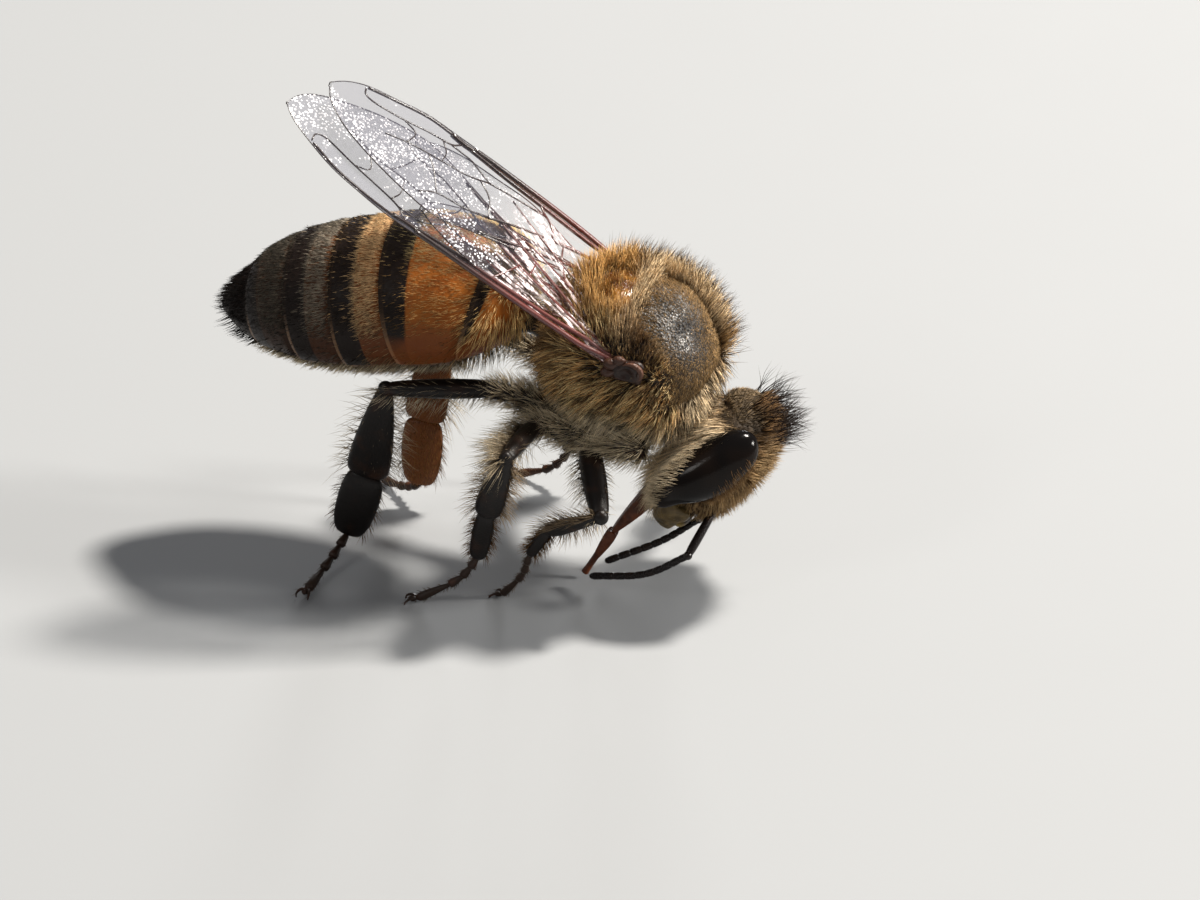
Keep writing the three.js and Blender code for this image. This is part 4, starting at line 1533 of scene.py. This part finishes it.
def leg_shell(pair, part, side, start, end, extra=(), flat=None, sides=20):
    """One leg segment's shell, joined with its extra knobs or spurs."""
    form = LEG_FORM[pair]
    profile = HIND_PROFILES.get(part) if pair == "hind" else None
    profile = [(share, size * form[part]) for share, size in profile or LEG_PROFILES[part]]
    name = f"{pair}_{part}_{side}"
    piece = rod(f"{name}_shell", start, end, rounded(*profile), flat or form["flat"], LEG_BROAD, sides)
    piece = join([piece, *extra], f"{name}_shell")
    if pair == "hind" and part in HIND_PROFILES:
        mark(piece, inner=smooth(-read(piece.data, "normal")[:, 1] * SIDES[side], 0.0, 0.5))
    keep_off_floor(piece)
    return settle(piece, "dark_shell", name, paint=LEG_PAINT)


def make_foot(pair, side, heel, bend, tip):
    """Four foot joints, two hooked claws and the pad between them."""
    foot = LEG_FORM[pair]["foot"]
    path = curve_through([heel, bend, tip], 25)
    bead = rod("joint", vec(0, 0, 0), vec(0, 0, 1), [(share, size * foot) for share, size in FOOT_BEAD],
               sides=10)
    parts = copies(bead, path[[0, 5, 10, 15, 24]], LEG_BROAD)
    ahead = unit((tip - path[20]) * vec(1, 1, 0.2))
    up = vec(0, 0, 1)
    for sign in SIDES.values():
        flank = unit(np.cross(up, ahead)) * sign
        hook = curve_through([tip, tip + ahead * 0.12 + flank * 0.1 + up * 0.05,
                              tip + ahead * 0.24 + flank * 0.15,
                              tip + ahead * 0.27 + flank * 0.14 - up * foot * 0.8], 12)
        parts.append(line_tube("claw", hook, np.linspace(0.045, 0.012, 12), 4))
    parts.append(ball("pad", tip + ahead * 0.1, (0.1, 0.08, 0.06), basis(up, ahead), 16, 10))
    piece = join(parts, f"{pair}_tarsus_{side}_joints")
    keep_off_floor(piece)
    return settle(piece, "dark_shell", f"{pair}_tarsus_{side}", paint=FOOT_PAINT)


def make_leg(pair, side):
    """A leg's five pieces, and where each starts and ends."""
    root, hip, knee, ankle, heel, bend, tip = leg_joints(pair, side)
    trochanter = rod("trochanter", blend(root, hip, 0.78), blend(hip, knee, 0.12),
                     rounded((0, 0.2), (0.5, 0.24), (1, 0.2)), broad=LEG_BROAD)
    knob = ball("knee", knee, vec(1, 0.8, 1) * LEG_FORM[pair]["femur"] * 0.60, None, 20, 14)
    shade(knob)
    spurs = []
    if pair != "hind":
        down = unit(heel - ankle)
        spurs.append(rod("spur", ankle - down * 0.08, ankle + down * 0.32 + vec(0.14, 0, 0.02),
                         [(0, 0.05), (0.5, 0.03), (1, 0.008)], sides=6))
    coxa = leg_shell(pair, "coxa", side, root, blend(root, hip, 0.86), [trochanter], 0.9, 14)
    femur = leg_shell(pair, "femur", side, hip, knee, [knob], 0.8, 14)
    tibia = leg_shell(pair, "tibia", side, knee, ankle, spurs)
    basitarsus = leg_shell(pair, "basitarsus", side, ankle, heel)
    foot = make_foot(pair, side, heel, bend, tip)
    pieces = (coxa, femur, tibia, basitarsus, foot)
    ends = ((root, hip), (hip, knee), (knee, ankle), (ankle, heel), (heel, tip))
    return list(zip(PARTS, pieces, ends))


LEG_HAIR = {  # hairs, their length, their lift, and their colour
    "coxa": (1500, 0.42, 45, HAIR_CREAM),
    "femur": (330, 0.40, 56, HAIR_CREAM * 0.8),
    "tibia": (420, 0.40, 50, blend(HAIR_CREAM, HAIR_BROWN, 0.75)),
    "basitarsus": (300, 0.24, 40, HAIR_BROWN),
    "tarsus": (160, 0.10, 36, HAIR_BROWN * 0.7),
}
MIDDLE_FUR = 3.8  # how much thicker the pale fringe behind the middle femurs is
BRUSH = 3.0  # and the brushes on the hind legs' inner faces


def grow_leg_fur(side, legs):
    """Pale fringes along the legs' edges, short nap, and brushes on the hind legs' inner faces."""
    rows = []
    sign = SIDES[side]
    seed = LEFT_LEG_SEED if side == "left" else LEG_SEED
    segments = [(pair, *segment) for pair in PAIRS for segment in legs[pair]]
    for cell, (pair, part, piece, (start, end)) in enumerate(segments):
        count, long, lift, tone = LEG_HAIR[part]
        brush = pair == "hind" and part in HIND_PROFILES
        fluffy = pair == "middle" and part == "femur"
        basket = pair == "hind" and part == "tibia"
        count = int(count * (BRUSH if brush else MIDDLE_FUR if fluffy else 1.0))
        if fluffy or basket:
            tone = blend(HAIR_CREAM, HAIR_BROWN, 0.25 if fluffy else 0.4)
        lift = 76 if fluffy else lift
        span = np.linalg.norm(end - start)
        along = unit(end - start)
        broad = basis(end - start, LEG_BROAD)[:, 0]

        def weigh(places, normals):
            edge = smooth(np.abs(normals @ broad), 0.55, 0.95)
            if part == "femur":
                under = smooth(-normals @ vec(0.7, 0, 0.7), 0.1, 0.8)
                rear = smooth(-normals @ vec(0.92, 0, 0.38), 0.35, 0.9)
                edge = rear if fluffy else edge * 0.3 + under
                reach = (places - start) @ along / span
                edge = edge * (1 - 0.8 * smooth(reach, 0.5, 0.8) * (pair == "front"))
            inner = smooth(-normals[:, 1] * sign, 0.3, 0.8) * 1.5 if brush else 0.0
            return 0.03 + edge + inner + 1.0 * (part == "coxa")

        roots = scatter(piece, count, seed + cell, weigh)
        root, normal, chance = roots
        count = len(root)
        edge = smooth(np.abs(normal @ broad), 0.45, 0.9)
        if part == "femur":
            edge = np.maximum(edge * 0.6, smooth(-normal @ vec(0.7, 0, 0.7), 0.0, 0.7))
        if part == "coxa":
            edge = np.maximum(edge, 0.75)
        inner = smooth(-normal[:, 1] * sign, 0.3, 0.8) * (1 - edge) * brush
        length = long * (0.25 + 1.1 * edge) * chance.uniform(0.5, 1.2, count)
        length = blend(length * (1 + 0.5 * fluffy + 0.35 * basket), 0.13, inner)
        length = np.minimum(length, 0.05 + root[:, 2] + STANCE)
        lying = blend(lift * (0.4 + 0.8 * edge) + chance.normal(0, 8, count), 24, inner)
        colour = blend(tone * 0.35, tone, edge[:, None])
        colour = blend(colour, HAIR_ORANGE * vec(0.62, 0.5, 0.5), inner[:, None])
        away = root - start
        turn = np.arctan2(away @ broad, away @ np.cross(along, broad)) / (2 * math.pi) % 1
        patch = np.stack([0.06 * cell + 0.05 * (away @ along / span).clip(0, 1), turn * 0.98], 1)
        rows.append((root, normal, np.broadcast_to(along, root.shape), length, lying,
                     varied(colour, roots), patch))
    root, normal, lie, length, lying, tone, patch = (np.concatenate(part) for part in zip(*rows))
    roots = (root, normal, np.random.default_rng(5))
    grow(f"leg_fur_{side}", "dark_shell", roots, lie, length, 0.0068, lying, tone, patch, steps=2,
         lowest=FLOOR_GAP - STANCE)


# ---- wings: thin pleated membranes with tube veins ----------------------------------------------
# Each wing's length, width and outline. The outline starts at a point and goes round by curves,
# each of a control point and an end, in shares of the length and the width.
FOREWING = (8.85, 2.84), (0, -0.02), (
    (0.35, -0.06, 0.7, 0.02), (0.94, 0.16, 1, 0.46), (0.99, 0.72, 0.88, 0.84),
    (0.77, 0.98, 0.65, 1), (0.62, 0.99, 0.59, 0.96), (0.3, 0.58, 0.05, 0.21), (0.02, 0.15, 0, 0.1))
HINDWING = (6.1, 1.8), (0, 0), (
    (0.35, 0, 0.69, 0.02), (0.95, 0.17, 1, 0.45), (0.9, 0.83, 0.68, 0.94),
    (0.42, 1.08, 0.24, 0.83), (0.08, 0.61, 0, 0.2))
HIND_BEHIND, HIND_BEYOND, HIND_TURN = 0.6, 0.15, math.radians(13)
# Each side's wing root, the way along the wing, and the way back from its leading edge.
WINGS = {
    "right": (vec(-0.07, -1.72, 0.52), vec(-0.8, -0.155, 0.59), vec(-0.031, 0.976, 0.217)),
    "left": (vec(-0.03, 1.72, 0.58), vec(-0.729, -0.169, 0.664), vec(0.08, -0.983, -0.162)),
}
# Veins as (half thickness, points), in millimetres along the wing and back from the leading edge.
FORE_VEINS = (
    (0.070, ((0, 0.10), (1, 0.06), (2.2, 0.05), (3.4, 0.06), (4.4, 0.07), (5.2, 0.07))),
    (0.055, ((0, 0.16), (1, 0.22), (2.2, 0.24), (3.4, 0.24), (4.4, 0.23), (5.25, 0.16))),
    (0.075, ((5.15, 0.12), (5.45, 0.13), (5.8, 0.09))),
    (0.042, ((5.6, 0.08), (6.4, 0.06), (7.3, 0.06), (8.0, 0.06))),
    (0.026, ((5.5, 0.2), (5.75, 0.42), (6.3, 0.52), (7.1, 0.56), (7.75, 0.5), (8.02, 0.32),
             (8.05, 0.08))),
    (0.040, ((0.1, 0.30), (1.0, 0.50), (2.0, 0.80), (2.75, 1.06))),
    (0.028, ((2.75, 1.06), (2.9, 0.75), (3.15, 0.38), (3.25, 0.26))),
    (0.028, ((2.75, 1.06), (3.3, 1.28), (4.0, 1.58), (4.35, 1.78))),
    (0.022, ((4.35, 1.78), (5.0, 2.02), (5.7, 2.14), (6.1, 2.42))),
    (0.038, ((0.1, 0.40), (1.0, 0.82), (2.2, 1.38), (3.3, 1.86), (4.5, 2.40))),
    (0.024, ((2.45, 0.97), (2.40, 1.45))),
    (0.024, ((3.05, 0.5), (3.9, 0.66), (4.6, 0.80))),
    (0.022, ((4.6, 0.80), (4.95, 0.56), (5.2, 0.44), (5.72, 0.42))),
    (0.022, ((4.6, 0.80), (5.2, 1.08), (5.9, 1.2), (6.6, 1.22), (7.3, 1.32))),
    (0.020, ((5.95, 0.48), (5.8, 0.8), (5.85, 1.19))),
    (0.020, ((6.95, 0.57), (6.62, 0.8), (6.75, 1.23))),
    (0.022, ((4.85, 0.92), (4.5, 1.3), (4.35, 1.78))),
    (0.020, ((6.2, 1.22), (5.95, 1.6), (5.7, 2.14))),
)
HIND_VEINS = (
    (0.036, ((0, 0.08), (1.5, 0.05), (3.0, 0.05), (4.0, 0.06))),
    (0.028, ((0.1, 0.20), (1.2, 0.34), (2.4, 0.50), (3.4, 0.58), (4.6, 0.62))),
    (0.020, ((2.9, 0.55), (3.2, 0.3), (3.5, 0.08))),
    (0.022, ((1.6, 0.40), (1.75, 0.62), (1.85, 0.8))),
    (0.026, ((0.1, 0.30), (0.9, 0.58), (1.85, 0.8), (2.8, 1.1), (3.6, 1.38))),
)
MEMBRANE = 0.02


def wing_edges(form):
    """Where a wing's leading and trailing edges run, as two lists of points."""
    size, here, curves = form
    points = [np.array(here, float)]
    for cx, cy, x, y in curves:
        start, control, end = points[-1], vec(cx, cy), vec(x, y)
        for t in np.linspace(0.05, 1, 20):
            points.append((1 - t) ** 2 * start + 2 * t * (1 - t) * control + t * t * end)
    points = np.array(points) * size
    turn = points[:, 0].argmax()
    return points[: turn + 1], points[turn:][::-1]


def edge_at(edge, x):
    order = np.argsort(edge[:, 0])
    return np.interp(x, edge[order, 0], edge[order, 1])


def make_wing(side, name, form, veins, root, span, chord, sink):
    lead, trail = wing_edges(form)
    length = form[0][0]
    top = np.cross(span, chord) * SIDES[side]

    def surface(x, y):
        """The wing's gently cambered and pleated surface over its flat outline."""
        front, rear = edge_at(lead, x), edge_at(trail, x)
        back = (y - front) / np.maximum(rear - front, 0.05)
        far = x / length
        rise = 0.12 * np.sin(math.pi * np.clip(back, 0, 1)) * (1 - 0.6 * far) - 0.05 * back
        fan = np.arctan2(y + 0.15, x + 0.4)
        pleat = 0.030 * np.cos(fan * 26) * (1 - smooth(far, 0.45, 0.9))
        ripple = 0.014 * np.sin(3.1 * x + 2.3 * y) * smooth(far, 0.35, 0.8)
        height = rise + pleat * smooth(x, 0.2, 0.8) + ripple - sink - 0.12 * far * far
        return root + np.outer(x, span) + np.outer(y, chord) + np.outer(height, top)

    clear_selection()
    bpy.ops.mesh.primitive_grid_add(x_subdivisions=110, y_subdivisions=34, size=MM)
    film = bpy.context.object
    film.name = f"{name}_{side}_membrane"
    flat = read(film.data, "co") / MM + 0.5
    x = length * (1 - (1 - flat[:, 0] * 0.996) ** 1.6)
    front, rear = edge_at(lead, x), edge_at(trail, x)
    y = front + (rear - front) * flat[:, 1]
    move_to(film, surface(x, y))
    back = (y - front) / np.maximum(rear - front, 0.05)
    trailing = smooth(x, 2.4, 4.5) * (0.35 + 0.65 * smooth(back, 0.35, 0.6))
    # Where the painted glints fall: more on the trailing half, fewer in a clear window, and fewer on the
    # far (left) wing; near also weakens the far wing's painted sheen streaks and film.
    glints = trailing - 0.5 * bell(x, 5.2, 1.1) * bell(back, 0.45, 0.2) - 0.45 * (side == "left")
    near = np.full(len(x), 1.0 if side == "right" else 0.25)
    mark(film, base=1 - smooth(x, 1.2, 4.6), film=smooth(x, 3.2, 6.4), glints=glints, near=near)
    fan = np.stack([x * 0.9, np.arctan2(y + 0.3, x + 0.8) * 34, 0 * x], 1)
    mark(film, "FLOAT_VECTOR", "vector", fan=fan)
    modify(film, "SOLIDIFY", thickness=MEMBRANE * MM, offset=0.0)
    face_out(film)
    shade(film, 60)
    settle(film, "wing_membrane", f"{name}_{side}", paint=MEMBRANE_PAINT)
    tubes = []
    for half, points in veins:
        points = np.array(points, float)
        points[:, 1] += edge_at(lead, points[:, 0])
        line = curve_through(points, 4 + int(6 * np.linalg.norm(np.diff(points, axis=0), axis=1).sum()))
        thick = half * (1 - 0.25 * line[:, 0] / length)
        tubes.append(line_tube("vein", surface(*line.T), thick, 3))
    rim = curve_through(np.vstack([lead[::4], trail[::-1][1::4]])[:-1], 160)
    tubes.append(line_tube("rim", surface(*rim.T), 0.014, 2))
    piece = join(tubes, f"{name}_{side}_veins")
    face_out(piece)
    mark(piece, base=1 - smooth((places_of(piece) - root) @ span, 1.0, 5.0))
    shade(piece)
    settle(piece, "wing_membrane", paint=VEIN_PAINT)


def make_wings(side):
    root, span, chord = WINGS[side]
    span = unit(span)
    chord = unit(chord - span * (chord @ span))
    make_wing(side, "forewing", FOREWING, FORE_VEINS, root, span, chord, 0.0)
    c, s = math.cos(HIND_TURN), math.sin(HIND_TURN)
    hind_root = root + span * HIND_BEYOND + chord * HIND_BEHIND
    hind_span, hind_chord = span * c + chord * s, chord * c - span * s
    make_wing(side, "hindwing", HINDWING, HIND_VEINS, hind_root, hind_span, hind_chord, 0.05)


# ---- the whole bee ------------------------------------------------------------------------------
LEG_PAINT = horn_paint("leg_shell_paint")
FOOT_PAINT = horn_paint("foot_paint", (0.03, 0.016, 0.010), RED_HORN, 0.4, 0.8)
FEELER_PAINT = horn_paint("feeler_paint", (0.010, 0.007, 0.006), UMBER, 0.26, 0.2)
TEGULA_PAINT = glossy_paint("tegula_paint", (0.026, 0.010, 0.006), 0.36)
JAW_PAINT = glossy_paint("jaw_paint", (0.15, 0.10, 0.035), 0.35)
TONGUE_PAINT = glossy_paint("tongue_paint", (0.15, 0.040, 0.012), 0.3)
OCELLUS_PAINT = glossy_paint("ocellus_paint", (0.04, 0.025, 0.018), 0.08)
VEIN_PAINT = vein_paint()
NECK_PAINT = horn_paint("neck_paint", (0.10, 0.06, 0.03), MARGIN, 0.5, 0.8)
LINING_PAINT = horn_paint("lining_paint", (0.10, 0.05, 0.02), MARGIN, 0.5, 0.6)
EYE_PAINT = eye_paint()
FACE_PAINT = face_paint()
MEMBRANE_PAINT = membrane_paint()

thorax = make_thorax()
grow_thorax_fur(thorax)
grow_thorax_stubble(thorax)
grow_bristles("thorax_guard_hairs", thorax, GUARD_HAIRS, on_top, on_thorax(0.6, 0, 1.0),
              (THORAX_CENTRE, THORAX_AXES), long=(0.55, 0.92), half=0.0088, lift=(76, 8),
              tone=HAIR_BROWN, wave=0.16, fade_from=0.1)
make_neck()
make_waist()
head = make_head()
grow_head_fur(head)
grow_bristles("crown_bristles", head, CROWN_BRISTLES, on_crown, head_way(0.5, 0, 1.0),
              (HEAD_CENTRE, HEAD_AXES), long=(0.6, 1.1), half=0.0100, lift=(68, 10),
              tone=HAIR_DARK, wave=0.2)
make_ocelli()
make_mouth()
grow_abdomen_fur(make_abdomen())
for side in SIDES:
    make_tegula(side)
    grow_eye_fur(side, make_eye(side))
    make_feeler(side)
    make_wings(side)
    grow_leg_fur(side, {pair: make_leg(pair, side) for pair in PAIRS})

clear_selection()
